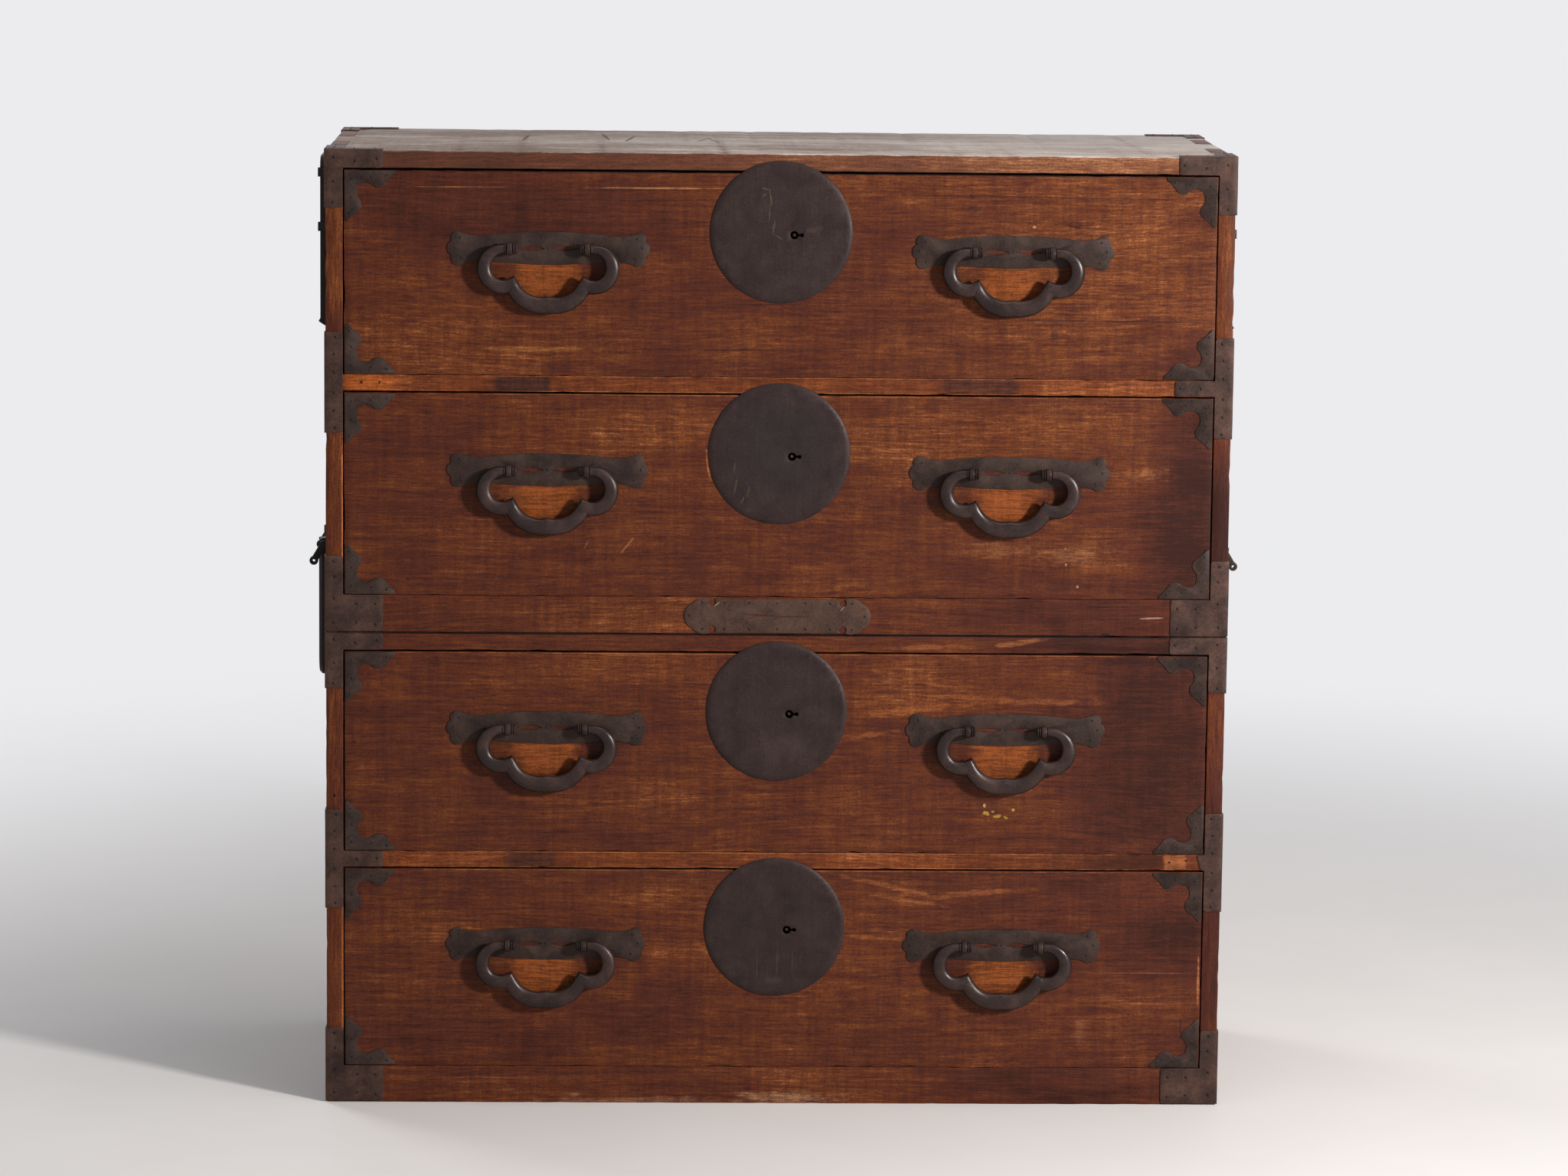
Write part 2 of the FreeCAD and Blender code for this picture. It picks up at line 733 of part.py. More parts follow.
def pole_loop():
    """Makes a right-hand pole loop: two legs, rounded corners, crossbar and flared feet."""
    x0 = x_out + loop_gap
    x1 = x0 + loop_d
    z_under = loop_crown_z()
    z_bend = z_under + loop_t - loop_bend_r
    z_foot = z_under + loop_t - loop_len
    y_bend = loop_half + loop_t / 2 - loop_bend_r
    leg = box(x0, x1, y_mid + loop_half - loop_t / 2, y_mid + loop_half + loop_t / 2, z_foot + loop_foot_h, z_bend)
    end = Part.Face(Part.makePolygon([V(x0, y_mid + y_bend + loop_bend_r - loop_t, z_bend),
                                      V(x1, y_mid + y_bend + loop_bend_r - loop_t, z_bend),
                                      V(x1, y_mid + y_bend + loop_bend_r, z_bend),
                                      V(x0, y_mid + y_bend + loop_bend_r, z_bend),
                                      V(x0, y_mid + y_bend + loop_bend_r - loop_t, z_bend)]))
    bend = end.revolve(V(x0, y_mid + y_bend, z_bend), V(1, 0, 0), 90)
    crown = box(x0, x1, y_mid - y_bend, y_mid + y_bend, z_under, z_under + loop_t)
    neck = rectangle(x0, x1, loop_half, loop_t / 2, z_foot + loop_foot_h)
    z_swell = z_foot + loop_foot_h * loop_foot_share
    swell = rectangle(x0, x1 + loop_foot_flare, loop_half, loop_t / 2 + loop_foot_flare, z_swell)
    sole = rectangle(x0, x1 - loop_d / 2, loop_half, loop_t / 2, z_foot)
    foot = Part.makeLoft([neck, swell, sole], True, True)
    half = joined([leg, bend, foot])
    return joined([half, half.mirror(V(0, y_mid, 0), V(0, 1, 0)), crown])


def rectangle(x0, x1, y_centre, y_half, z):
    """Makes a level rectangle round one leg of a pole loop."""
    y0 = y_mid + y_centre - y_half
    y1 = y_mid + y_centre + y_half
    corners = [V(x0, y0, z), V(x1, y0, z), V(x1, y1, z), V(x0, y1, z)]
    return Part.makePolygon(corners + corners[:1])


def band(y, z1):
    """Makes one guide band round a leg, with a nailing flange on each side."""
    x_slot = x_out + loop_gap + loop_d + band_fit
    half_slot = loop_t / 2 + band_fit
    half_band = half_slot + band_t
    hoop = box(x_out, x_slot + band_t, y - half_band, y + half_band, z1 - band_h, z1)
    flange = box(x_out, x_out + band_t, y - half_band - band_flange, y + half_band + band_flange, z1 - band_h, z1)
    slot = box(x_out, x_slot, y - half_slot, y + half_slot, z1 - band_h, z1)
    return joined([hoop, flange]).cut(slot)


def pole_loops():
    """Makes both pole loops and the guide bands that they slide in."""
    right = pole_loop()
    export("pole_loop_right", right)
    export("pole_loop_left", mirrored_x(right))
    z_upper = loop_crown_z() + loop_t - loop_bend_r - band_fit
    bands = []
    for y in (y_mid - loop_half, y_mid + loop_half):
        for z in (z_upper, z_upper - band_spacing):
            bands.append(band(y, z))
    export("pole_loop_bands", *bands, *[mirrored_x(b) for b in bands])


# Side bails

def side_bail_z():
    """Gives the height of the side bails' axis."""
    return joint_z + side_bail_above_joint


def side_pin_places():
    """Gives the two pin centres of a side bail along Y."""
    return (y_mid - side_bail_half, y_mid + side_bail_half)


def side_pin_holes():
    """Makes the blind square holes for the bail pins in a side board."""
    half = side_pin_leg / 2
    z = side_bail_z()
    x0 = x_in + side_pin_blind
    return [box(x0, x_out, y - half, y + half, z - half, z + half) for y in side_pin_places()]


def side_pins():
    """Makes the four bail pins and the round seats between them and the side boards."""
    half = side_pin_leg / 2
    z = side_bail_z()
    x_axis = x_out + side_eye_out
    solids = []
    for y in side_pin_places():
        ring = Part.makeCylinder(side_eye_r, side_eye_w, V(x_axis, y - side_eye_w / 2, z), V(0, 1, 0))
        trim = box(x_out, x_out + seat_t, y - side_eye_w, y + side_eye_w, z - side_eye_r, z + side_eye_r)
        shank = box(x_in + side_pin_blind, x_axis, y - half, y + half, z - half, z + half)
        bore_r = side_pintle_r + pintle_fit
        bore = Part.makeCylinder(bore_r, side_eye_w, V(x_axis, y - side_eye_w / 2, z), V(0, 1, 0))
        solids.append(joined([ring.cut(trim), shank]).cut(bore))
        seat = Part.makeCylinder(seat_r, seat_t, V(x_out, y, z), V(1, 0, 0))
        solids.append(seat.cut(box(x_out, x_out + seat_t, y - half, y + half, z - half, z + half)))
    export("side_bail_pins", *solids, *[mirrored_x(s) for s in solids])


def side_bail():
    """Makes a right-hand side bail: a bar bent into a U, its ends curled outward past the pins."""
    r = side_bar_r
    x = x_out + side_eye_out
    z = side_bail_z()
    leg_y = side_bail_half - side_eye_w / 2 - eye_gap - r
    z_bend = side_bend_r - side_bail_len
    stations = [(leg_y, r, 1, 0, r, r), (leg_y, z_bend, 1, 0, r, r)]
    for i in range(1, side_bend_stations + 1):
        turn = math.radians(90) * i / side_bend_stations
        nx, nz = math.cos(turn), -math.sin(turn)
        stations.append((leg_y - side_bend_r + side_bend_r * nx, z_bend + side_bend_r * nz, nx, nz, r, r))
    bar = forged_bar(stations, side_flat_share)
    bar.rotate(V(0, 0, 0), V(0, 0, 1), 90)
    bar = bar.translated(V(x, y_mid, z))
    y_tip = y_mid - side_bail_half - side_eye_w / 2 - eye_gap - curl_t
    pintle = Part.makeCylinder(side_pintle_r, y_mid - leg_y - y_tip, V(x, y_tip, z), V(0, 1, 0))
    end = joined([pintle, curl(x, y_tip, z)])
    return joined([bar, end, end.mirror(V(0, y_mid, 0), V(0, 1, 0))])


def curl(x, y, z):
    """Makes the curled end of a side bail, an arm that slopes outward to a small ring."""
    root = Part.makeCylinder(curl_root_r, curl_t, V(x, y, z), V(0, 1, 0))
    tip_at = V(x + curl_out, y, z - curl_drop)
    tip = Part.makeCylinder(curl_tip_r, curl_t, tip_at, V(0, 1, 0))
    reach = math.hypot(curl_out, curl_drop)
    across = V(curl_drop / reach, 0, curl_out / reach)
    root_at = V(x, y, z)
    waist_r = curl_root_r * curl_arm_share
    corners = [root_at + across * waist_r, tip_at + across * waist_r, tip_at - across * waist_r,
               root_at - across * waist_r]
    arm = Part.Face(Part.makePolygon(corners + corners[:1])).extrude(V(0, curl_t, 0))
    hole = Part.makeCylinder(curl_hole_r, curl_t, tip_at, V(0, 1, 0))
    return joined([root, arm, tip]).cut(hole)


def side_bails():
    """Makes both side bails and their pins."""
    right = side_bail()
    export("side_bail_right", right)
    export("side_bail_left", mirrored_x(right))
    side_pins()


def main():
    """Builds both case sections, the four drawers and the side fittings."""
    for section in section_floor:
        side_boards(section)
        top_board(section)
        bottom_board(section)
        base_rail(section)
        divider(section)
        back_boards(section)
        case_irons(section)
    name_plate()
    handle = bail()
    for drawer in drawer_section:
        drawer_front(drawer)
        drawer_box(drawer)
        drawer_corners(drawer)
        lock_plate(drawer)
        lock_case(drawer)
        lock_bolt(drawer)
        handle_plates(drawer)
        drawer_handles(drawer, handle)
    pole_loops()
    side_bails()


main()
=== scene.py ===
import json
import logging
import math
from dataclasses import dataclass, field, replace
from enum import Enum
from typing import Iterable, Sequence

import bmesh
import bpy
from mathutils import Matrix, Vector, noise


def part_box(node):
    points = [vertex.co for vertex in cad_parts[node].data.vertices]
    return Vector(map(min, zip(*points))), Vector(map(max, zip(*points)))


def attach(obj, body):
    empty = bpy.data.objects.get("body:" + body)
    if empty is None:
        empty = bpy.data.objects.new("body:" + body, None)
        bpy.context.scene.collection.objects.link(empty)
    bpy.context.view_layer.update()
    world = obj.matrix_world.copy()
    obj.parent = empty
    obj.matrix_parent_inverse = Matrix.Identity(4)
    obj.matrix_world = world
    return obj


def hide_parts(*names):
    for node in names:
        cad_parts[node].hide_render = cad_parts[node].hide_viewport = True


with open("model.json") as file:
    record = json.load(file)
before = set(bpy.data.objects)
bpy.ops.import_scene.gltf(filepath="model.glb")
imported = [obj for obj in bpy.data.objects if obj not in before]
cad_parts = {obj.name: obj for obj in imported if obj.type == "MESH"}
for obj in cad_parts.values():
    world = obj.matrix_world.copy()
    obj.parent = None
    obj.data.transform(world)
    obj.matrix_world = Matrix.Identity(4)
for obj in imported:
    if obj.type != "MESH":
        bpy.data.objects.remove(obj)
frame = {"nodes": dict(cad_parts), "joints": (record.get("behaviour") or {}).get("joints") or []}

LOG = logging.getLogger("clothes_chest")
MM = 0.001
Colour = tuple[float, float, float]
Point = tuple[float, float, float]
Screen = tuple[int, int, int]
Socket = bpy.types.NodeSocket


def tone(red: int, green: int, blue: int) -> Colour:
    """Turns a colour as seen on a screen, from 0 to 255, into the linear values that shaders take."""
    return tuple(share / 12.92 if share <= 0.04045 else ((share + 0.055) / 1.055) ** 2.4
                 for share in (red / 255, green / 255, blue / 255))


def tones(*colours: Screen) -> tuple[Colour, ...]:
    """Turns several screen colours into linear ones."""
    return tuple(tone(*colour) for colour in colours)


class Grain(Enum):
    """The direction that a board's grain runs in."""

    ACROSS = "x"
    DEEP = "y"
    UPRIGHT = "z"


class Shape(Enum):
    """The outline of a local mark on a surface."""

    OVAL = "oval"
    SQUARE = "square"


class Side(Enum):
    """The side of the chest that a local mark lies on, as the axis that it turns about."""

    FRONT = (0.0, 1.0, 0.0)
    TOP = (0.0, 0.0, 1.0)


class Graph:
    """Adds nodes to one tree and joins them."""

    def __init__(self, tree: bpy.types.NodeTree) -> None:
        """Takes a tree and empties it."""
        self.tree = tree
        tree.nodes.clear()

    def node(self, kind: str, inputs: dict | None = None, **settings: object) -> bpy.types.Node:
        """Adds a node, sets its options, and sets or joins its inputs.

        Args:
            kind: The node's type, for a shader's node without the prefix.
            inputs: Socket name or number to a value or to another node's output.
            settings: Options of the node itself.

        Returns:
            The new node.
        """
        shader = "ShaderNode" + kind
        made = self.tree.nodes.new(shader if hasattr(bpy.types, shader) else kind)
        for key, value in settings.items():
            setattr(made, key, value)
        for key, value in (inputs or {}).items():
            if isinstance(value, Socket):
                self.tree.links.new(value, made.inputs[key])
            else:
                made.inputs[key].default_value = value
        return made

    def place(self) -> Socket:
        """Gives the object coordinates, which are metres in the chest's frame."""
        return self.node("TexCoord").outputs["Object"]

    def calc(self, operation: str, a: object, b: object = 0.0, c: object = 0.0) -> Socket:
        """Does one sum on numbers."""
        return self.node("Math", {0: a, 1: b, 2: c}, operation=operation).outputs[0]

    def vector(self, operation: str, a: object, b: object = (0.0, 0.0, 0.0)) -> Socket:
        """Does one sum on vectors."""
        return self.node("VectorMath", {0: a, 1: b}, operation=operation).outputs["Vector"]

    def times(self, vector: object, factor: object) -> Socket:
        """Scales a vector or a colour."""
        return self.node("VectorMath", {0: vector, "Scale": factor}, operation="SCALE").outputs[0]

    def length(self, vector: object) -> Socket:
        """Gives a vector's length."""
        return self.node("VectorMath", {0: vector}, operation="LENGTH").outputs["Value"]

    def axis(self, vector: Socket, name: str) -> Socket:
        """Takes one part, X, Y or Z, of a vector."""
        return self.node("SeparateXYZ", {0: vector}).outputs[name]

    def summed(self, level: object, *parts: tuple[object, object]) -> Socket:
        """Adds to a level how far each part stands from one half, times its weight.

        Args:
            level: The level to start from.
            parts: Each part with its weight.

        Returns:
            The new level.
        """
        for part, weight in parts:
            level = self.calc("MULTIPLY_ADD", self.calc("SUBTRACT", part, 0.5), weight, level)
        return level

    def noise(self, vector: object, scale: float, detail: float = 2.0, rough: float = 0.5,
              warp: float = 0.0) -> Socket:
        """Adds smooth noise about one half."""
        values = {"Vector": vector, "Scale": scale, "Detail": detail, "Roughness": rough, "Distortion": warp}
        return self.node("TexNoise", values).outputs[0]

    def smooth(self, value: object, low: float, high: float, to_low: float = 0.0,
               to_high: float = 1.0) -> Socket:
        """Eases a value from one level to another as it passes between two bounds."""
        values = {"Value": value, "From Min": low, "From Max": high, "To Min": to_low, "To Max": to_high}
        return self.node("MapRange", values, interpolation_type="SMOOTHSTEP").outputs[0]

    def clamped(self, value: object, low: float = 0.0, high: float = 1.0) -> Socket:
        """Keeps a value between two bounds."""
        return self.node("Clamp", {"Value": value, "Min": low, "Max": high}).outputs[0]

    def ramp(self, value: object, places: Sequence[float], colours: Sequence[Colour]) -> Socket:
        """Maps a value to colours.

        Args:
            value: The value, from 0 to 1.
            places: The level at which each colour is reached, in order.
            colours: The colours.

        Returns:
            The colour.
        """
        made = self.node("ValToRGB", {0: value})
        points = made.color_ramp.elements
        while len(points) < len(places):
            points.new(0.5)
        for point, at, colour in zip(points, places, colours):
            point.position = at
            point.color = (*colour, 1.0)
        return made.outputs[0]

    def mix(self, share: object, a: object, b: object) -> Socket:
        """Mixes two colours, given as outputs or as linear values."""
        a, b = (colour if isinstance(colour, Socket) else (*colour, 1.0) for colour in (a, b))
        return self.node("Mix", {0: share, 6: a, 7: b}, data_type="RGBA").outputs[2]

    def seen_directly(self) -> Socket:
        """Gives one for rays of sight, straight or mirrored, and zero for light on the object.

        Returns:
            The share, zero or one.
        """
        ray = self.node("LightPath").outputs
        sight = self.calc("MAXIMUM", ray["Is Camera Ray"], ray["Is Glossy Ray"])
        return self.calc("MAXIMUM", sight, ray["Is Transmission Ray"])

    def surface(self, sockets: dict, height: object, relief: float, strength: float = 0.5) -> None:
        """Ends a material in a shader with a bump.

        Args:
            sockets: Inputs of the shader.
            height: The bump's height, from 0 to 1.
            relief: The bump's depth in metres.
            strength: How much of the bump shows.
        """
        bump = self.node("Bump", {"Height": height, "Distance": relief, "Strength": strength})
        shader = self.node("BsdfPrincipled", {**sockets, "Normal": bump.outputs[0]})
        self.node("OutputMaterial", {0: shader.outputs[0]})


# The levels at which a finish reaches its tones.
LACQUER_LEVELS = (0.18, 0.38, 0.52, 0.67, 0.86)
BARE_LEVELS = (0.28, 0.44, 0.58, 0.74)
IRON_LEVELS = (0.36, 0.50, 0.68)

# The colours of local marks, as seen on a screen.
DARK = (38, 22, 20)
# Painted shadow in the gaps over the top drawer and along the joint between the two sections.
GAP_SHADOW = (16, 9, 8)
HOLE = (30, 17, 14)
STAIN = (48, 29, 26)
# A pale line along an arris: partly wear, partly painted highlight where the edge catches the light.
WORN_AND_LIT_EDGE = (156, 100, 60)
WORN_ORANGE = (118, 61, 26)
# Painted shade in the wood seen through the handle plates' slots.
SHADED = (66, 32, 24)


@dataclass(frozen=True)
class Mark:
    """A local patch of another colour: a worn spot, stain, scratch or speck.

    Attributes:
        x: Its centre from the chest's middle, in millimetres.
        z: Its centre above the floor, or for a mark on the top its place in depth, in millimetres.
        half_x: Half its length, in millimetres.
        half_z: Half its height, in millimetres.
        turn: Its slope in degrees.
        strength: How far it hides what is under it.
        colour: Its colour as seen on a screen.
        ragged: How far noise breaks its edge.
        fade: The share of its reach over which it fades out.
        shape: Its outline.
        side: The side of the chest that it lies on.
    """

    x: float
    z: float
    half_x: float
    half_z: float
    turn: float = 0.0
    strength: float = 0.8
    colour: Screen = DARK
    ragged: float = 0.5
    fade: float = 0.3
    shape: Shape = Shape.OVAL
    side: Side = Side.FRONT

    def lay(self, g: Graph, at: Socket, colour: Socket, coarse: Socket, streak: Socket) -> Socket:
        """Lays the mark over a colour.

        Args:
            g: The material's nodes.
            at: The object coordinates.
            colour: The colour under the mark.
            coarse: Noise that all marks share to break their edges.
            streak: The surface's own light and dark, which the mark keeps.

        Returns:
            The colour with the mark.
        """
        is_front = self.side is Side.FRONT
        up = Vector((0.0, 0.0, 1.0)) if is_front else Vector((0.0, 1.0, 0.0))
        away = g.vector("SUBTRACT", at, Vector((self.x * MM, 0.0, 0.0)) + up * self.z * MM)
        if self.turn:
            away = g.node("VectorRotate", {"Vector": away, "Axis": self.side.value,
                                           "Angle": math.radians(self.turn)}).outputs[0]
        scale = Vector((1 / (self.half_x * MM), 0.0, 0.0)) + up / (self.half_z * MM)
        scaled = g.vector("MULTIPLY", away, scale)
        if self.shape is Shape.OVAL:
            reach = g.length(scaled)
        else:
            parts = g.vector("ABSOLUTE", scaled)
            reach = g.calc("MAXIMUM", g.axis(parts, "X"), g.axis(parts, "Z" if is_front else "Y"))
        edge = g.calc("ADD", reach, g.calc("MULTIPLY_ADD", coarse, self.ragged, -self.ragged / 2))
        cover = g.smooth(edge, 1.05 - self.fade, 1.05, self.strength, 0.0)
        return g.mix(cover, colour, g.times(tone(*self.colour), streak))


def marks(*rows: tuple, **shared: object) -> tuple[Mark, ...]:
    """Makes a mark of each row of values, in the order of Mark's fields, with what all of them share."""
    return tuple(Mark(*row, **shared) for row in rows)


@dataclass(frozen=True)
class Zone:
    """A soft zone where the lacquer is lighter and more orange, or darker and redder.

    Attributes:
        x: Its centre from the chest's middle, in millimetres.
        z: Its centre above the floor, in millimetres.
        half_x: Half its length, in millimetres.
        half_z: Half its height, in millimetres.
        amount: How much lighter it is, or how much darker where below zero.
        depth: How far it reaches back from the front, in millimetres.
        front: The place in depth of the chest's front, in millimetres.
    """

    x: float
    z: float
    half_x: float
    half_z: float
    amount: float
    depth: float = 5000.0
    front: float = -205.0

    def add(self, g: Graph, at: Socket, level: object) -> Socket:
        """Adds the zone to a level of wear.

        Args:
            g: The material's nodes.
            at: The object coordinates.
            level: The level of wear so far.

        Returns:
            The level with the zone.
        """
        away = g.vector("SUBTRACT", at, (self.x * MM, self.front * MM, self.z * MM))
        halves = (self.half_x, self.depth, self.half_z)
        reach = g.length(g.vector("MULTIPLY", away, tuple(1 / (half * MM) for half in halves)))
        return g.calc("ADD", level, g.smooth(reach, 0.2, 1.1, self.amount, 0.0))


def zones(*rows: tuple, **shared: object) -> tuple[Zone, ...]:
    """Makes a zone of each row of values, in the order of Zone's fields, with what all of them share."""
    return tuple(Zone(*row, **shared) for row in rows)


@dataclass(frozen=True)
class Finish:
    """A finish, which lays its own nodes in a material.

    Attributes:
        name: The finish's name.
    """

    name: str

    def build(self) -> bpy.types.Material:
        """Makes the material.

        Returns:
            The material.
        """
        material = bpy.data.materials.new(self.name)
        material.use_nodes = True
        self.lay_nodes(Graph(material.node_tree))
        return material

    def lay_nodes(self, g: Graph) -> None:
        """Lays the finish's nodes, which each kind of finish does in its own way."""
        raise NotImplementedError


@dataclass(frozen=True)
class WoodFinish(Finish):
    """Old lacquered wood with level hatching in its grain, open pores and wear.

    Attributes:
        tones: Five colours, from dark lacquer to bare light wood.
        grain: The direction of the grain.
        shift: A shift of the pattern, so that no two boards are alike.
        wear: How light the board is on the whole, from 0 to 1.
        zones: The zones that are lighter or darker.
        hatch: How strong the fine light and dark of the grain is.
        pores: How dark the open pores are.
        scuffs: How strong the pale scuffs are.
        crossed: How strong the faint brush marks across the grain are.
        wavy: How far the grain wanders, in millimetres.
        rough: The roughness of the surface.
        gloss: The specular level.
        relief: The depth of the grain, in millimetres.
        marks: The local marks.
        bare_above: The height in millimetres over which the wood is bare, or none.
        bare_way: The axis along which that height is measured.
        bare_tones: The four colours of that bare wood.
    """

    tones: tuple[Colour, ...]
    grain: Grain = Grain.ACROSS
    shift: Point = (0.0, 0.0, 0.0)
    wear: float = 0.44
    zones: tuple[Zone, ...] = ()
    hatch: float = 1.0
    pores: float = 0.6
    scuffs: float = 0.42
    crossed: float = 0.3
    wavy: float = 34.0
    rough: float = 0.44
    gloss: float = 0.1
    relief: float = 0.4
    marks: tuple[Mark, ...] = ()
    bare_above: float | None = None
    bare_way: str = "Z"
    bare_tones: tuple[Colour, ...] = ()

    def stretched(self, along: float, across: float) -> Point:
        """Gives the scales that draw noise out along the grain."""
        return tuple(along if self.grain.value == name else across for name in "xyz")

    def lay_nodes(self, g: Graph) -> None:
        """Lays the grain, its wear, the marks and the bare wood.

        Args:
            g: The material's nodes.
        """
        at = g.place()
        moved = g.vector("ADD", at, self.shift)
        wander = g.noise(g.vector("MULTIPLY", moved, self.stretched(1.6, 5.0)), 1.0, 2.0)
        bend = g.calc("MULTIPLY", g.calc("SUBTRACT", wander, 0.5), self.wavy * MM)
        bent = g.vector("ADD", moved, g.node("CombineXYZ", {0: bend, 1: bend, 2: bend}).outputs[0])

        def layer(along: float, across: float, detail: float = 3.0, base: Socket = bent) -> Socket:
            """Gives noise that is drawn out along the grain."""
            return g.noise(g.vector("MULTIPLY", base, self.stretched(along, across)), 1.0, detail, 0.6)

        streak, band, line = layer(4.0, 95.0, 5.0), layer(13.0, 230.0), layer(17.0, 480.0)
        dash, fleck, brushed = layer(84.0, 700.0), layer(44.0, 430.0), layer(150.0, 14.0, 3.0, moved)
        blotch, cloud = layer(3.0, 8.0, 4.0, moved), layer(13.0, 26.0, 4.0, moved)
        coarse, pepper = layer(60.0, 130.0, 4.0, moved), g.noise(moved, 400.0, 3.0, 0.7)
        hatch = g.summed(0.5, (streak, 0.34), (band, 0.32), (line, 0.44), (dash, 0.50), (fleck, 0.34),
                         (pepper, 0.44), (brushed, self.crossed))
        worn = g.summed(self.wear, (blotch, 0.36), (cloud, 0.36))
        for zone in self.zones:
            worn = zone.add(g, at, worn)
        strength = g.smooth(worn, 0.25, 0.66, 0.6 * self.hatch, 1.25 * self.hatch)
        lacquer = g.ramp(g.summed(worn, (hatch, strength)), LACQUER_LEVELS, self.tones)
        shade = g.smooth(hatch, 0.34, 0.66, 0.55, 1.34)
        pore = g.calc("MULTIPLY", g.smooth(dash, 0.60, 0.70, 0.0, self.pores),
                      g.smooth(cloud, 0.36, 0.58, 0.4, 1.0))
        scuff = g.calc("MULTIPLY", g.smooth(fleck, 0.57, 0.70, 0.0, self.scuffs), g.smooth(worn, 0.42, 0.66))

        def grained(skin: Socket) -> Socket:
            """Lays the dark pores and the pale scuffs over a colour."""
            pored = g.mix(pore, skin, tuple(0.4 * c for c in self.tones[0]))
            return g.mix(scuff, pored, tuple(0.86 * c for c in self.tones[-1]))

        def marked(skin: Socket, side: Side) -> Socket:
            """Lays the marks of one side over a colour.

            Args:
                skin: The colour under the marks.
                side: The side.

            Returns:
                The colour with the marks.
            """
            for mark in self.marks:
                skin = mark.lay(g, at, skin, coarse, shade) if mark.side is side else skin
            return skin

        colour = marked(grained(lacquer), Side.FRONT)
        if self.bare_above is not None:
            rim = g.summed(g.axis(at, self.bare_way), (fleck, 2.4 * MM))
            is_bare = g.smooth(rim, (self.bare_above - 1.4) * MM, self.bare_above * MM)
            grey = g.summed(hatch, (worn, 1.0), (blotch, 0.3), (cloud, 0.2))
            colour = g.mix(is_bare, colour, grained(g.ramp(grey, BARE_LEVELS, self.bare_tones)))
        colour = marked(colour, Side.TOP)
        dull = g.clamped(g.summed(self.rough, (cloud, 0.35), (line, 0.3)), 0.2, 0.9)
        height = g.calc("MULTIPLY_ADD", hatch, 0.8, g.calc("MULTIPLY", fleck, 0.3))
        height = g.calc("MULTIPLY_ADD", pore, -0.6, height)
        sockets = {"Base Color": colour, "Roughness": dull, "Specular IOR Level": self.gloss}
        g.surface(sockets, height, self.relief * MM)


@dataclass(frozen=True)
class IronFinish(Finish):
    """Dark old iron with a mottled skin, faint rust and fine pits.

    Attributes:
        tones: Three colours of the skin, from dark to light.
        rust: The colour of the rust.
        rust_share: How far the rust shows.
        metal: How metallic the skin is.
        rough: The roughness of the skin.
        gloss: The specular level.
        mottle: How strong the light and dark clouds are.
        pits: The depth of the pits, in millimetres.
        brushed: How strong the fine upright scratches are.
        marks: The local marks.
    """

    tones: tuple[Colour, ...]
    rust: Colour
    rust_share: float = 0.4
    metal: float = 0.3
    rough: float = 0.5
    gloss: float = 0.2
    mottle: float = 0.7
    pits: float = 0.15
    brushed: float = 0.0
    marks: tuple[Mark, ...] = ()

    def lay_nodes(self, g: Graph) -> None:
        """Lays the clouds and grit of the skin, the rust and the marks.

        Args:
            g: The material's nodes.
        """
        at = g.place()
        cloud, grit = g.noise(at, 34.0, 6.0, 0.62, 0.4), g.noise(at, 520.0, 4.0, 0.7)
        bloom, coarse = g.noise(at, 90.0, 5.0, 0.7, 0.8), g.noise(at, 140.0, 4.0, 0.65)
        level = g.summed(0.5, (cloud, self.mottle), (grit, 0.45))
        if self.brushed:
            lines = g.noise(g.vector("MULTIPLY", at, (900.0, 900.0, 26.0)), 1.0, 2.0, 0.6)
            level = g.summed(level, (lines, self.brushed))
        rusty = g.calc("MULTIPLY_ADD", bloom, 0.7, g.calc("MULTIPLY", grit, 0.3))
        skin = g.ramp(level, IRON_LEVELS, self.tones)
        colour = g.mix(g.smooth(rusty, 0.53, 0.68, 0.0, self.rust_share), skin, self.rust)
        shade = g.smooth(level, 0.30, 0.70, 0.8, 1.2)
        for mark in self.marks:
            colour = mark.lay(g, at, colour, coarse, shade)
        dull = g.clamped(g.summed(self.rough, (cloud, 0.5), (grit, 0.25)))
        height = g.calc("MULTIPLY_ADD", grit, 0.6, g.calc("MULTIPLY", bloom, 0.6))
        g.surface({"Base Color": colour, "Metallic": self.metal, "Roughness": dull,
                   "Specular IOR Level": self.gloss}, height, self.pits * MM)


@dataclass(frozen=True)
class FloorFinish(Finish):
    """A dull pale floor that runs out into an even pale ground.

    Attributes:
        colour: The floor's colour near the chest.
        smudge: The colour of its faint smudges.
        far_colour: The colour of the ground far away.
        near: Where the ground begins to take over, in metres.
        far: Where it has taken over, in metres.
    """

    colour: Colour
    smudge: Colour
    far_colour: Colour
    near: float = 0.9
    far: float = 3.2

    def lay_nodes(self, g: Graph) -> None:
        """Lays the paint, and the even ground that takes over far away.

        Args:
            g: The material's nodes.
        """
        at = g.place()
        faint = g.smooth(g.noise(at, 3.0, 4.0, 0.6), 0.35, 0.65, 0.0, 0.12)
        colour = g.mix(faint, self.colour, self.smudge)
        paint = g.node("BsdfPrincipled", {"Base Color": colour, "Roughness": 0.6, "Specular IOR Level": 0.25})
        glow = g.node("Emission", {"Color": (*self.far_colour, 1.0), "Strength": 1.0})
        seen = g.calc("MULTIPLY", g.seen_directly(), g.smooth(g.length(at), self.near, self.far))
        both = g.node("MixShader", {0: seen, 1: paint.outputs[0], 2: glow.outputs[0]})
        g.node("OutputMaterial", {0: both.outputs[0]})


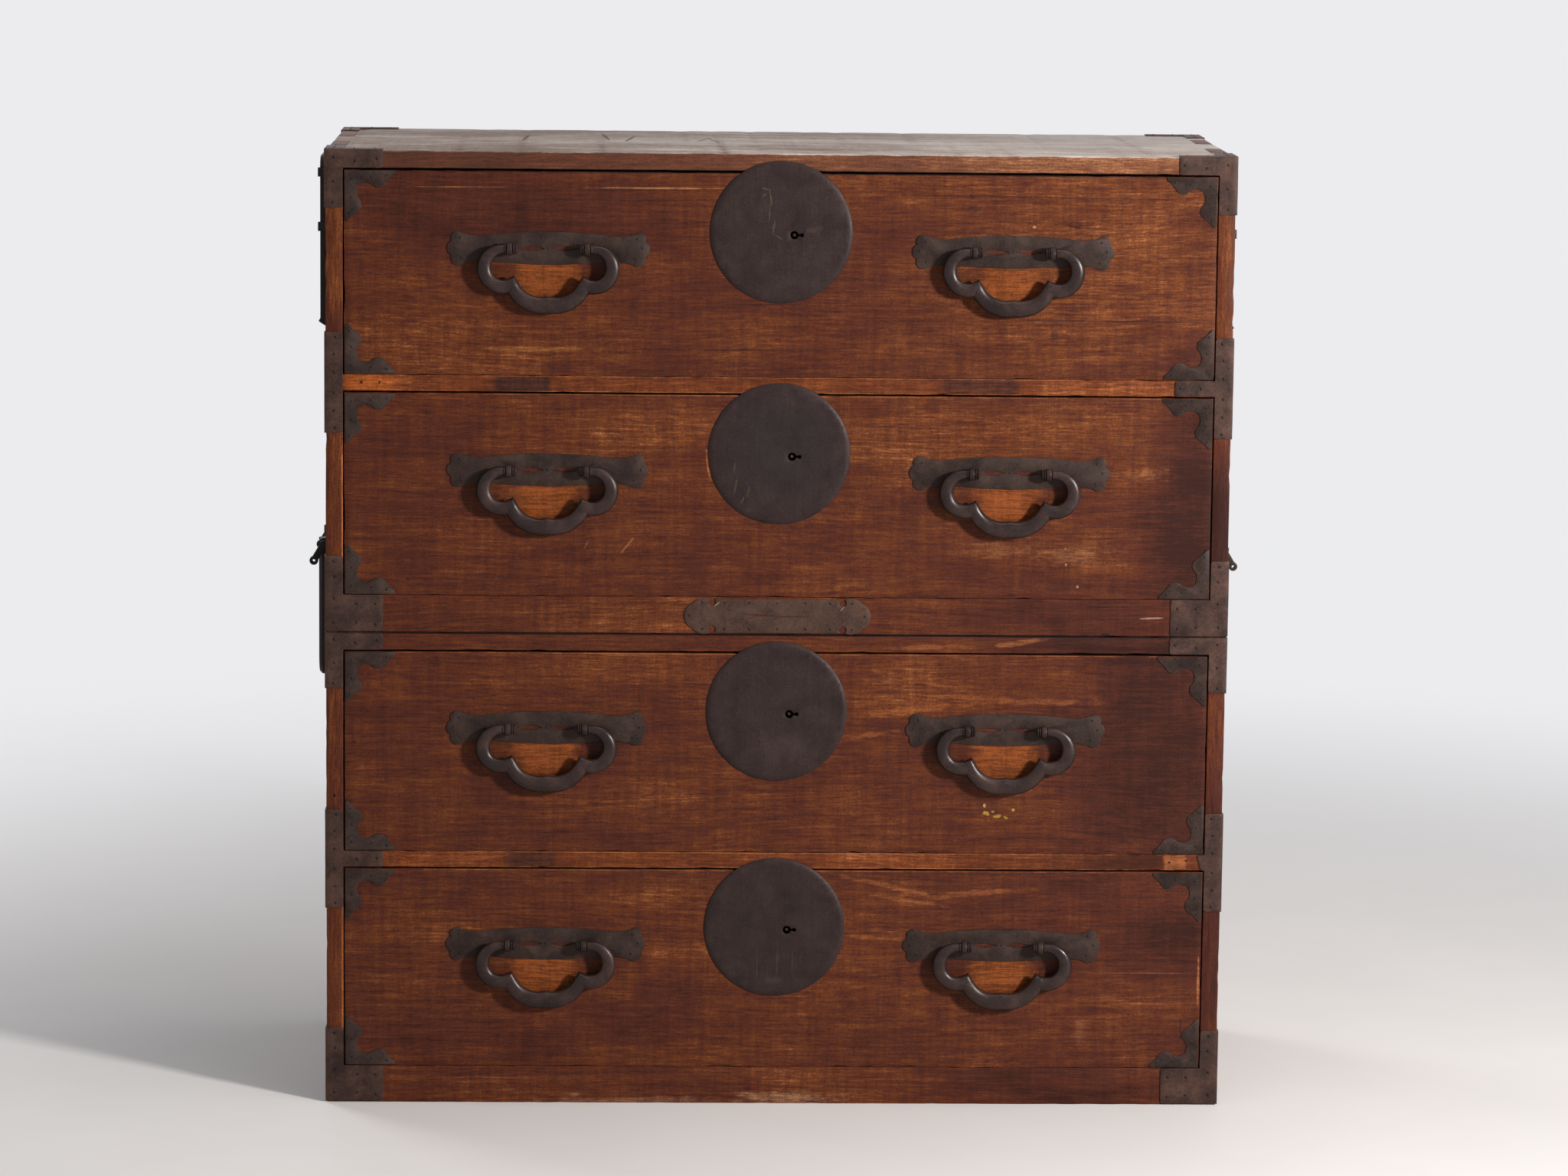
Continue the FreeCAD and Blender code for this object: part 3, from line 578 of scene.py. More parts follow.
class Palette:
    """The tones of the chest, and its finishes, each made once."""

    lacquer = tones((45, 21, 16), (71, 33, 22), (88, 45, 22), (112, 61, 32), (160, 105, 65))
    edge = tones((58, 33, 25), (82, 47, 34), (98, 58, 40), (118, 74, 48), (158, 110, 78))
    rail = tones((54, 25, 15), (78, 37, 20), (98, 49, 24), (120, 64, 33), (162, 104, 64))
    # The top's bare grey wood. Its pale tones are partly the weathered wood's own colour and partly painted
    # sheen from the top's grazing reflection.
    bare = tones((120, 104, 94), (160, 145, 136), (182, 170, 163), (202, 193, 188))
    softwood = tones((104, 78, 54), (146, 115, 82), (166, 136, 100), (184, 156, 120), (204, 180, 146))
    rust = tone(92, 52, 38)
    ground = tone(236, 236, 239)

    def __init__(self) -> None:
        """Starts with no material made."""
        self._made: dict[str, bpy.types.Material] = {}

    def get(self, finish: Finish) -> bpy.types.Material:
        """Gives a finish's material, making it the first time.

        Args:
            finish: The finish.

        Returns:
            Its material.
        """
        if finish.name not in self._made:
            self._made[finish.name] = finish.build()
        return self._made[finish.name]


PALETTE = Palette()

STRAP_IRON = IronFinish("strap_iron", tones((39, 28, 25), (58, 40, 34), (80, 58, 49)), Palette.rust, 0.3)
PLATE_IRON = IronFinish("plate_iron", tones((32, 24, 21), (47, 35, 31), (65, 49, 43)), tone(74, 45, 35),
                        0.3, gloss=0.16)
BAIL_IRON = IronFinish("bail_iron", tones((24, 15, 13), (37, 23, 20), (57, 39, 34)), tone(56, 34, 26), 0.25,
                       metal=0.12, rough=0.34, gloss=0.28, pits=0.12)
SIDE_IRON = IronFinish("side_iron", tones((20, 15, 13), (32, 24, 21), (52, 39, 34)), tone(58, 37, 29), 0.35,
                       metal=0.12, rough=0.46, gloss=0.18)
NAIL_IRON = IronFinish("nail_iron", tones((18, 14, 13), (30, 23, 21), (52, 40, 36)), tone(52, 34, 27), 0.3,
                       rough=0.42)
BARE_INSIDE = {"hatch": 0.8, "pores": 0.3, "scuffs": 0.2, "crossed": 0.04, "rough": 0.66, "gloss": 0.2}


@dataclass(frozen=True)
class Wear:
    """How the sharp edges and flat faces of a CAD solid are worn.

    Attributes:
        edge: The width of the edges' bevel, in millimetres.
        steps: The faces across a bevel.
        cell: The pitch of the cuts that let a face undulate, in millimetres, or none.
        swell: How far a face undulates, in millimetres.
        waves: The undulation's waves to a metre.
        ends: The radius of a sheet's outer corners, in millimetres.
        nicks: The depth of the nicks in a board's long edges, in millimetres.
        seed: A shift of the undulation.
    """

    edge: float
    steps: int = 2
    cell: float = 0.0
    swell: float = 0.0
    waves: float = 14.0
    ends: float = 0.0
    nicks: float = 0.0
    seed: float = 0.0


# Which edges are sharp, round, flat or doubled, and which are a sheet's outer corners.
SHARP = math.radians(28)
SMOOTH = math.radians(32)
FLAT = math.radians(0.6)
WELD = 0.002 * MM
CORNER_TURN = 1.2
CORNER_STEPS = 4
LONGEST_CORNER = 2.4 * MM

# The seed of the swell of worn faces, which would otherwise change from run to run.
SWELL_SEED = 5

# How nicks fall: their reach in bevels, waves to a metre, least chance and gain.
NICK_REACH = 1.6
NICK_WAVES = 55.0
LEAST_NICK = 0.12
NICK_GAIN = 2.4


def sharp_edges(mesh: bmesh.types.BMesh) -> list[bmesh.types.BMEdge]:
    """Finds the edges where two faces meet at a clear angle."""
    return [e for e in mesh.edges if len(e.link_faces) == 2 and e.calc_face_angle(0.0) > SHARP]


def outer_corners(mesh: bmesh.types.BMesh) -> list[bmesh.types.BMEdge]:
    """Finds the short edges through a sheet that stand out and turn about a right angle."""
    return [e for e in mesh.edges if len(e.link_faces) == 2 and e.is_convex
            and e.calc_face_angle(0.0) > CORNER_TURN and e.calc_length() < LONGEST_CORNER]


def bevel(mesh: bmesh.types.BMesh, edges: list[bmesh.types.BMEdge], width: float, steps: int) -> None:
    """Rounds edges to a width in millimetres."""
    bmesh.ops.bevel(mesh, geom=edges, offset=width * MM, offset_type="OFFSET", segments=steps,
                    profile=0.5, affect="EDGES", clamp_overlap=True)


def reach_of(mesh: bmesh.types.BMesh) -> tuple[Vector, Vector]:
    """Gives a mesh's lowest and highest corners."""
    places = [v.co for v in mesh.verts]
    return tuple(Vector([pick(p[axis] for p in places) for axis in range(3)]) for pick in (min, max))


def cut_grid(mesh: bmesh.types.BMesh, cell: float) -> None:
    """Cuts a mesh along evenly spaced upright and level planes.

    Args:
        mesh: The mesh to cut.
        cell: The planes' pitch in metres.
    """
    low, high = reach_of(mesh)
    for axis in (0, 2):
        normal = Vector([float(axis == other) for other in range(3)])
        count = int((high[axis] - low[axis]) / cell)
        for index in range(1, count + 1):
            at = normal * (low[axis] + (high[axis] - low[axis]) * index / (count + 1))
            geometry = mesh.verts[:] + mesh.edges[:] + mesh.faces[:]
            bmesh.ops.bisect_plane(mesh, geom=geometry, plane_co=at, plane_no=normal, dist=1e-6)


def nick_edges(mesh: bmesh.types.BMesh, wear: Wear) -> None:
    """Presses small nicks into the long edges of a board.

    Args:
        mesh: The board's mesh.
        wear: How it is worn.
    """
    low, high = reach_of(mesh)
    reach = wear.edge * NICK_REACH * MM
    for vert in mesh.verts:
        inward = Vector((0.0, 0.0, 0.0))
        for axis in range(3):
            if vert.co[axis] - low[axis] < reach:
                inward[axis] = 1.0
            elif high[axis] - vert.co[axis] < reach:
                inward[axis] = -1.0
        is_edge = inward.length > 1.2
        if is_edge:
            chance = noise.noise(vert.co * NICK_WAVES + Vector((wear.seed, 3.0, wear.seed)))
            vert.co += inward * max(0.0, chance - LEAST_NICK) * NICK_GAIN * wear.nicks * MM


def worn_copy(node: str, wear: Wear) -> bmesh.types.BMesh:
    """Copies a CAD node and wears its edges and faces.

    Args:
        node: The CAD node's name.
        wear: How it is worn.

    Returns:
        The worn mesh.
    """
    mesh = bmesh.new()
    mesh.from_mesh(frame["nodes"][node].data)
    bmesh.ops.remove_doubles(mesh, verts=mesh.verts, dist=WELD)
    bmesh.ops.dissolve_limit(mesh, angle_limit=FLAT, verts=mesh.verts, edges=mesh.edges)
    if wear.ends:
        bevel(mesh, outer_corners(mesh), wear.ends, CORNER_STEPS)
    bevel(mesh, sharp_edges(mesh), wear.edge, wear.steps)
    if wear.cell:
        cut_grid(mesh, wear.cell * MM)
        shift = Vector((wear.seed, wear.seed * 1.7, wear.seed * 0.6))
        for vert in mesh.verts:
            vert.co += noise.noise_vector(vert.co * wear.waves + shift) * wear.swell * MM
    if wear.nicks:
        nick_edges(mesh, wear)
    return mesh


def add_object(name: str, data: bpy.types.ID) -> bpy.types.Object:
    """Adds an object to the scene.

    Args:
        name: Its name.
        data: Its mesh, lamp or camera.

    Returns:
        The object.
    """
    made = bpy.data.objects.new(name, data)
    bpy.context.scene.collection.objects.link(made)
    return made


def put_in_place(mesh: bmesh.types.BMesh, name: str, finish: Finish, node: str, body: str) -> None:
    """Turns a mesh into a finished piece, smooth where it is rounded, in the place of a CAD node.

    Args:
        mesh: The mesh, which is used up.
        name: The piece's name.
        finish: Its finish.
        node: The CAD node that it stands for.
        body: The body that it rides on.
    """
    data = bpy.data.meshes.new(name)
    mesh.to_mesh(data)
    mesh.free()
    data.shade_smooth()
    data.set_sharp_from_angle(angle=SMOOTH)
    data.materials.clear()
    data.materials.append(PALETTE.get(finish))
    piece = add_object(name, data)
    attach(piece, body)
    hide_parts(node)
    LOG.info("%s: %d faces", node, len(data.polygons))


def dress(node: str, body: str, wear: Wear, finish: Finish) -> None:
    """Puts a worn, finished copy in the place of a CAD node."""
    put_in_place(worn_copy(node, wear), node + "_worn", finish, node, body)


# The radii of nail heads, in millimetres.
STRAP_NAIL = 1.9
BAND_NAIL = 1.7
HANDLE_NAIL = 1.6
CORNER_NAIL = 1.5


@dataclass
class Nail:
    """One nail head on a surface.

    Attributes:
        at: Its centre on the surface, in metres.
        facing: The way that the surface faces.
        size: Its radius in metres.
    """

    at: Vector
    facing: Vector
    size: float


@dataclass
class NailSet:
    """The nails of one body, spread by one node tree.

    Attributes:
        body: The body that they ride on.
        seed: The seed of their small differences.
        dome: The height of a head as a share of its radius.
        spread: How much smaller than its size a head may be.
        tilt: How far a head may lean.
        nails: The nails.
    """

    body: str
    seed: int
    dome: float = 0.42
    spread: float = 0.14
    tilt: float = 0.1
    nails: list[Nail] = field(default_factory=list)

    def add_row(self, points: Iterable[Point], facing: Point = (0.0, -1.0, 0.0),
                size: float = STRAP_NAIL) -> None:
        """Adds nails at points in metres, facing one way, with a radius in millimetres."""
        for point in points:
            self.nails.append(Nail(Vector(point), Vector(facing), size * MM))

    def tree(self) -> bpy.types.NodeTree:
        """Builds the tree that sets a low domed head on each point.

        Returns:
            The tree.
        """
        tree = bpy.data.node_groups.new("nail_heads_" + self.body, "GeometryNodeTree")
        face = tree.interface
        face.new_socket("Geometry", in_out="INPUT", socket_type="NodeSocketGeometry")
        for name, kind, value in (("Dome Height", "Float", self.dome), ("Size Spread", "Float", self.spread),
                                  ("Tilt", "Float", self.tilt), ("Seed", "Int", self.seed)):
            face.new_socket(name, in_out="INPUT", socket_type="NodeSocket" + kind).default_value = value
        face.new_socket("Geometry", in_out="OUTPUT", socket_type="NodeSocketGeometry")
        g = Graph(tree)
        own = g.node("NodeGroupInput").outputs
        ball = g.node("GeometryNodeMeshUVSphere", {"Segments": 10, "Rings": 5, "Radius": 1.0})
        flat = g.node("CombineXYZ", {0: 1.0, 1: 1.0, 2: own["Dome Height"]})
        head = g.node("GeometryNodeTransform", {"Geometry": ball.outputs["Mesh"], "Scale": flat.outputs[0]})
        facing = g.node("GeometryNodeInputNamedAttribute", {"Name": "facing"}, data_type="FLOAT_VECTOR")
        size = g.node("GeometryNodeInputNamedAttribute", {"Name": "size"}, data_type="FLOAT")
        stray = g.node("FunctionNodeRandomValue", {0: (-1.0, -1.0, -1.0), "Seed": own["Seed"]},
                       data_type="FLOAT_VECTOR")
        aim = g.vector("ADD", facing.outputs[0], g.times(stray.outputs[0], own["Tilt"]))
        turn = g.node("FunctionNodeAlignRotationToVector", {"Vector": aim}, axis="Z")
        least = g.calc("SUBTRACT", 1.0, own["Size Spread"])
        spread = g.node("FunctionNodeRandomValue", {2: least, 3: 1.0, "Seed": own["Seed"]}, data_type="FLOAT")
        heads = g.node("GeometryNodeInstanceOnPoints", {
            "Points": own["Geometry"], "Instance": head.outputs[0], "Rotation": turn.outputs[0],
            "Scale": g.calc("MULTIPLY", size.outputs[0], spread.outputs[1])})
        real = g.node("GeometryNodeRealizeInstances", {0: heads.outputs[0]})
        iron = PALETTE.get(NAIL_IRON)
        coat = g.node("GeometryNodeSetMaterial", {"Geometry": real.outputs[0], "Material": iron})
        g.node("NodeGroupOutput", {0: coat.outputs[0]})
        return tree

    def build(self) -> None:
        """Spreads the heads and bakes them into one plain mesh."""
        name = self.body + "_nails"
        points = bpy.data.meshes.new(name + "_points")
        points.from_pydata([n.at for n in self.nails], [], [])
        facing = points.attributes.new("facing", "FLOAT_VECTOR", "POINT")
        facing.data.foreach_set("vector", [c for n in self.nails for c in n.facing])
        size = points.attributes.new("size", "FLOAT", "POINT")
        size.data.foreach_set("value", [n.size for n in self.nails])
        seedling = add_object(name + "_points", points)
        seedling.modifiers.new("heads", "NODES").node_group = self.tree()
        bpy.context.view_layer.update()
        graph = bpy.context.evaluated_depsgraph_get()
        data = bpy.data.meshes.new_from_object(seedling.evaluated_get(graph))
        data.name = name
        data.shade_smooth()
        seedling.modifiers.clear()
        bpy.data.objects.remove(seedling)
        made = add_object(name, data)
        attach(made, self.body)
        LOG.info("%s: %d nails", self.body, len(self.nails))


@dataclass(frozen=True)
class Lamp:
    """One square lamp.

    Attributes:
        name: Its name.
        at: Its place in metres.
        aim: The point that it faces, in metres.
        size: Its side in metres.
        watts: Its power.
        colour: Its colour.
    """

    name: str
    at: Point
    aim: Point
    size: float
    watts: float
    colour: Colour

    def add(self) -> None:
        """Adds the lamp to the scene."""
        data = bpy.data.lights.new(self.name, "AREA")
        data.size = self.size
        data.energy = self.watts
        data.color = self.colour
        lamp = add_object(self.name, data)
        lamp.location = self.at
        lamp.rotation_euler = (Vector(self.aim) - Vector(self.at)).to_track_quat("-Z", "Y").to_euler()


@dataclass(frozen=True)
class Stage:
    """The floor, the light and the camera.

    Attributes:
        camera_at: The camera's place in millimetres.
        pitch: How far the camera looks down, in degrees.
        yaw: How far it looks to the right, in degrees.
        roll: Its roll in degrees.
        focal_px: The focal length in pixels of the full picture.
        picture_px: The width of the full picture in pixels.
        sensor: The width of the sensor in millimetres.
        lamps: The lamps.
        room_light: The strength of the room's even light.
        room_colour: The colour of that light.
        floor_reach: How far the floor reaches each way, in metres.
    """

    camera_at: Point = (-178.0, -6314.35, 1511.8)
    pitch: float = 8.308
    yaw: float = 1.738
    roll: float = 0.626
    focal_px: float = 6881.5
    picture_px: float = 2048.0
    sensor: float = 36.0
    lamps: tuple[Lamp, ...] = (
        Lamp("key", (2.44, -2.575, 1.54), (0.0, -0.2, 0.6), 0.4, 184.0, (1.0, 0.98, 0.95)),
        Lamp("overhead", (0.6, -0.4, 3.4), (0.0, 0.1, 0.9), 2.2, 34.0, (1.0, 0.99, 0.98)),
        Lamp("back", (-2.6, 2.6, 2.0), (0.0, 0.2, 0.6), 1.4, 60.0, (0.95, 0.97, 1.0)),
    )
    room_light: float = 0.11
    room_colour: Colour = (0.94, 0.96, 1.0)
    floor_reach: float = 60.0

    def add_camera(self) -> None:
        """Sets the camera where the photograph was taken from."""
        pitch, yaw, roll = (math.radians(a) for a in (self.pitch, self.yaw, self.roll))
        ahead = Vector((math.sin(yaw) * math.cos(pitch), math.cos(yaw) * math.cos(pitch), -math.sin(pitch)))
        level = Vector((math.cos(yaw), -math.sin(yaw), 0.0))
        above = level.cross(ahead)
        right = level * math.cos(roll) + above * math.sin(roll)
        up = above * math.cos(roll) - level * math.sin(roll)
        turn = Matrix((right, up, -ahead)).transposed()
        data = bpy.data.cameras.new("camera")
        data.sensor_width = self.sensor
        data.lens = self.focal_px / self.picture_px * self.sensor
        data.clip_end = 200.0
        camera = add_object("camera", data)
        camera.matrix_world = Matrix.Translation(Vector(self.camera_at) * MM) @ turn.to_4x4()
        bpy.context.scene.camera = camera

    def light_room(self) -> None:
        """Lights the object with an even pale room, and shows the ground's colour behind it."""
        world = bpy.data.worlds.new("room")
        bpy.context.scene.world = world
        world.use_nodes = True
        g = Graph(world.node_tree)
        room = g.node("Background", {0: (*self.room_colour, 1.0), 1: self.room_light})
        ground = g.node("Background", {0: (*Palette.ground, 1.0), 1: 1.0})
        both = g.node("MixShader", {0: g.seen_directly(), 1: room.outputs[0], 2: ground.outputs[0]})
        g.node("OutputWorld", {0: both.outputs[0]})

    def lay_floor(self) -> None:
        """Lays the floor."""
        data = bpy.data.meshes.new("floor")
        reach = self.floor_reach
        corners = [(-reach, -reach, 0.0), (reach, -reach, 0.0), (reach, reach, 0.0), (-reach, reach, 0.0)]
        data.from_pydata(corners, [], [(0, 1, 2, 3)])
        paint = FloorFinish("floor_paint", tone(226, 222, 220), tone(200, 196, 194), Palette.ground)
        data.materials.append(PALETTE.get(paint))
        floor = add_object("floor", data)

    def build(self) -> None:
        """Lays the floor, lights the scene and adds the camera."""
        self.lay_floor()
        for lamp in self.lamps:
            lamp.add()
        self.light_room()
        bpy.context.scene.view_settings.view_transform = "Standard"
        self.add_camera()
        LOG.info("stage: floor, %d lamps and the camera", len(self.lamps))


def span(node: str) -> tuple[Vector, Vector]:
    """Gives a node's lowest and highest corners in metres."""
    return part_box(node)


def hinge(joint: str) -> Vector:
    """Gives the place of a joint's axis in metres."""
    return Vector(next(j["pos_m"] for j in frame["joints"] if j["name"] == joint))


BOARD_MARKS = {
    # The upper sides' first mark is a painted highlight: a thin pale line along the left side board's inner
    # edge, where it catches the light.
    ("upper", "sides"): marks((-509.6, 702, 1, 84, 0, 0.6, (172, 100, 50), 0.8), shape=Shape.SQUARE),
    # The lower sides' first mark is the same painted highlight along the left side board's inner edge; then
    # come a hole and its streak.
    ("lower", "sides"): marks((-509.6, 190, 1, 140, 0, 0.45, (160, 96, 52), 0.9), shape=Shape.SQUARE)
    + marks((-519, 369, 2.2, 2.2, 0, 0.95, HOLE, 0.2), (-519, 348, 1, 14, 0, 0.5, HOLE, 0.6)),
    ("upper", "top"): marks(
        (-302, 70, 2.2, 60, 3), (-290, 112, 14.9, 2.2, 4), (-206, 96, 2.3, 70, -4),
        (-176, 60, 2.1, 60, 6), (-190, 70, 16.9, 2, 0), (-86, 60, 2.1, 42, 14),
        (-76, 40, 1.9, 36, -12), (130, 90, 40.9, 1.6, 2), (330, 20, 70.9, 1.4, -1.5),
        strength=0.85, colour=(66, 46, 40), ragged=1.0, side=Side.TOP),
    ("lower", "top"): marks(
        (284, 555.5, 40, 4, 8, 0.45, (146, 88, 50)), (170, 550, 60, 3, 2, 0.4, (136, 80, 44)),
        ragged=2.2, fade=0.7),
    ("upper", "rail"): marks(
        (-301, 859, 36, 16, 0, 0.75, STAIN, 0.35), (233, 857, 48, 14, 0, 0.6, STAIN, 0.7),
        (-476, 858.5, 36, 14, 0, 0.6, (158, 82, 34), 0.6, 0.5), shape=Shape.SQUARE)
    + marks(
        # Pale lines along the rail's top and bottom arrises: partly wear, partly painted highlight.
        (0, 866.5, 470, 0.6, 0, 0.45, WORN_AND_LIT_EDGE, 1.6), (0, 848.8, 470, 0.6, 0, 0.45, WORN_AND_LIT_EDGE, 1.6),
        (-487, 858, 2.2, 1.8, 0, 0.95, DARK, 0.1), (-466, 858, 1.9, 1.6, 0, 0.95, DARK, 0.1)),
    ("lower", "rail"): marks(
        (-288, 296, 32, 14, 0, 0.6, STAIN, 0.6), (474, 295, 14, 10, 0, 0.7, (138, 80, 46), 1.0),
        shape=Shape.SQUARE)
    + marks(
        # Pale lines along the rail's top and bottom arrises: partly wear, partly painted highlight.
        (0, 302.7, 470, 0.6, 0, 0.45, WORN_AND_LIT_EDGE, 1.6), (0, 285, 470, 0.6, 0, 0.5, WORN_AND_LIT_EDGE, 1.6),
        (487, 296, 1.8, 1.6, 0, 0.95, DARK, 0.1), (467, 294, 1.8, 1.6, 0, 0.95, DARK, 0.1)),
    ("upper", "base_rail"): marks(
        (441, 586, 15, 1.2, 3, 0.6, (140, 112, 98), 1.4), (386, 566, 6, 2.5, 0, 0.9)),
    ("lower", "base_rail"): marks(
        (-150, 3, 150, 6, 0, 0.3, (150, 106, 78), 2.0, 0.9),
        (10, 7, 80, 9, 0, 0.42, (168, 124, 94), 2.2, 0.9),
        (-235, 9, 10, 4, 0, 0.35, (150, 108, 78), 1.6, 0.8),
        (-300, 30, 150, 1.2, 0, 0.3, (130, 84, 54), 2.2, 0.8)),
}
BOARD_ZONES = {
    ("upper", "sides"): zones(
        (-518, 1010, 40, 60, -0.08), (518, 990, 40, 90, 0.02), (518, 700, 40, 120, -0.26),
        (-518, 900, 40, 70, -0.14), (-518, 700, 40, 90, -0.06), depth=50.0),
    ("lower", "sides"): zones((-518, 170, 40, 120, -0.02), (518, 240, 40, 260, -0.22), depth=50.0),
    ("upper", "top"): zones((560, 1122, 620, 60, 0.18), (-300, 1118, 240, 40, -0.04)),
    ("lower", "top"): zones((-340, 554, 140, 30, -0.02), (400, 554, 200, 30, -0.2)),
    ("upper", "rail"): zones(
        (-430, 857, 110, 30, 0.04), (420, 857, 90, 30, 0.08), (330, 857, 60, 30, 0.04)),
    ("lower", "rail"): zones(
        (-390, 294, 110, 30, 0.08), (130, 294, 120, 30, 0.06), (410, 294, 100, 30, -0.22)),
    ("upper", "base_rail"): zones((-360, 586, 150, 60, -0.02), (360, 586, 160, 60, -0.08)),
    ("lower", "base_rail"): zones((-400, 22, 90, 50, -0.04), (360, 22, 240, 50, -0.1)),
}
PATTERN_PLACES = {"sides": 3.1, "top": 6.2, "base_rail": 9.3, "rail": 12.4, "inner": 15.5}


@dataclass
class CaseSection:
    """One of the two stacked sections: its boards and irons.

    Attributes:
        name: The section's name, upper or lower.
        seed: A shift of its patterns.
        side_iron: The thickness of the irons on the sides, in millimetres.
        back_boards: The number of boards in the back.
        edge_wear: The wear of the boards that show.
        hidden_wear: The wear of the boards inside.
        iron_wear: The wear of the irons.
    """

    name: str
    seed: float
    side_iron: float = 1.5
    back_boards: int = 6
    edge_wear: Wear = Wear(0.9, 3, 12.0, 0.25, 9.0, nicks=0.7, seed=4.0)
    hidden_wear: Wear = Wear(0.5, 1)
    iron_wear: Wear = Wear(0.32, 2, 7.0, 0.18, 38.0, 3.0)

    def dress(self, part: str, slot: str, wear: Wear, finish: Finish) -> None:
        """Dresses one of the section's nodes."""
        dress(f"{self.name}_{part}", self.name + "_case", wear, finish)

    def wood(self, part: str, palette: tuple[Colour, ...], more_marks: tuple[Mark, ...] = (),
             **more: object) -> WoodFinish:
        """Gives a board's finish, with its own place in the pattern.

        Args:
            part: The board.
            palette: The tones of its wood.
            more_marks: The marks besides those of the table.
            more: Further values of the finish.

        Returns:
            The finish.
        """
        place = PATTERN_PLACES[part] + self.seed
        key = (self.name, part)
        return WoodFinish(f"{self.name}_{part}_wood", palette, shift=(place, place * 0.7, place * 1.3),
                          zones=BOARD_ZONES.get(key, ()), marks=BOARD_MARKS.get(key, ()) + more_marks, **more)

    def build(self) -> None:
        """Dresses the outer boards with lacquer, the inner ones with bare wood, and the irons."""
        is_upper = self.name == "upper"
        # Painted shadow along the joint between the sections, laid on the sides, the straps, the lower top
        # and the upper base rail.
        seam = self.seam()
        sides = self.wood("sides", Palette.lacquer, seam, grain=Grain.UPRIGHT, wear=0.46, scuffs=0.3,
                          crossed=0.08)
        self.dress("sides", "case_wood", self.edge_wear, sides)
        low, high = (corner.z / MM for corner in span(self.name + "_top"))
        # The upper top's bare wood, whose pale tones are partly painted sheen.
        bare = {"bare_above": high - 0.1, "bare_tones": Palette.bare, "rough": 0.68} if is_upper else {}
        # On the upper section: painted shadow of the gap along the top's lower front edge, over the top
        # drawer. On the lower one: the painted shadow along the joint.
        gap = marks((0, low + 0.3, 520, 0.9, 0, 0.85, GAP_SHADOW, 0.3), shape=Shape.SQUARE) if is_upper else seam
        palette = Palette.edge if is_upper else Palette.lacquer
        top = self.wood("top", palette, gap, wear=0.43, crossed=0.14, **bare)
        self.dress("top", "case_wood", self.edge_wear, top)
        base = self.wood("base_rail", Palette.lacquer, seam if is_upper else ())
        self.dress("base_rail", "rail_wood", self.edge_wear, base)
        self.dress("rail", "rail_wood", self.edge_wear, self.wood("rail", Palette.rail, wear=0.46))
        inner = self.wood("inner", Palette.softwood, wear=0.5, **BARE_INSIDE)
        for part in ("bottom", "shelf"):
            self.dress(part, "inner_wood", self.hidden_wear, inner)
        back = WoodFinish(self.name + "_back_wood", Palette.softwood, Grain.UPRIGHT, (self.seed, 4.0, 2.0),
                          wear=0.5, marks=self.back_marks(), **BARE_INSIDE)
        self.dress("back", "inner_wood", Wear(0.7, 2), back)
        iron = replace(STRAP_IRON, name=self.name + "_strap_iron", marks=seam)
        self.dress("irons", "strap_iron", self.iron_wear, iron)

    def seam(self) -> tuple[Mark, ...]:
        """Gives the painted shadow line along the joint between the two sections.

        Returns:
            The line, as one mark.
        """
        way = 0.5 if self.name == "upper" else -0.5
        joint = span("lower_top")[1].z / MM
        return marks((0, joint + way, 560, 1.2, 0, 0.9, GAP_SHADOW, 0.25), shape=Shape.SQUARE)

    def back_marks(self) -> tuple[Mark, ...]:
        """Sets the back boards apart, with a darker tone on some and dirt in the seams.

        Returns:
            The marks.
        """
        low, high = span(self.name + "_back")
        count = self.back_boards
        pitch = (high.x - low.x) / count / MM
        middle, half = (low.z + high.z) / 2 / MM, (high.z - low.z) / 2 / MM
        boards = [((index - (count - 1) / 2) * pitch, middle, pitch / 2, half + 20, 0, dark, (128, 96, 66))
                  for index, dark in ((0, 0.3), (2, 0.16), (3, 0.4), (5, 0.24))]
        seams = [((index - count / 2) * pitch, middle, 1.1, half, 0, 0.8, (52, 36, 26))
                 for index in range(1, count)]
        return marks(*boards, ragged=0.0, fade=0.01, shape=Shape.SQUARE) + marks(*seams)

    def add_nails(self, nails: NailSet) -> None:
        """Adds the nails of the section's straps and corner irons.

        Args:
            nails: The set that takes them.
        """
        irons, sides, rail, base, top = (
            span(f"{self.name}_{part}") for part in ("irons", "sides", "rail", "base_rail", "top"))
        x_out, y_side, low = sides[1].x, sides[0].y, base[0].z
        x_side = x_out + self.side_iron * MM
        z_top, z_rail = (top[0].z + top[1].z) / 2, (rail[0].z + rail[1].z) / 2
        for sign in (-1, 1):
            strap = [(10, z_top, 2), (10, z_top, -26), (9, z_top, -50), (35, z_top, -2), (60, z_top, 1)]
            strap += [(10 + away % 3, z_rail, away) for away in (-53, -33, -12, 12, 33, 53)]
            if (self.name, sign) in (("upper", 1), ("lower", -1)):
                strap += [(36, z_rail, 0), (60, z_rail, 1)]
            strap += [(9, low, 12), (10, low, 40), (10.5, low, 66), (9.5, low, 84)]
            strap += [(36, low, 12), (36, low, 34), (58, low, 10), (58, low, 34)]
            nails.add_row((sign * (x_out - x * MM), irons[0].y, z + up * MM) for x, z, up in strap)
            side = [(z_rail, up) for up in (-48, -16, 16, 48)] + [(low, up) for up in (14, 46, 78)]
            points = [(sign * x_side, y_side + 12 * MM, z + up * MM) for z, up in side]
            nails.add_row(points, (float(sign), 0.0, 0.0))
        if self.name == "upper":
            self.add_corner_nails(nails, x_out, irons[1].z)

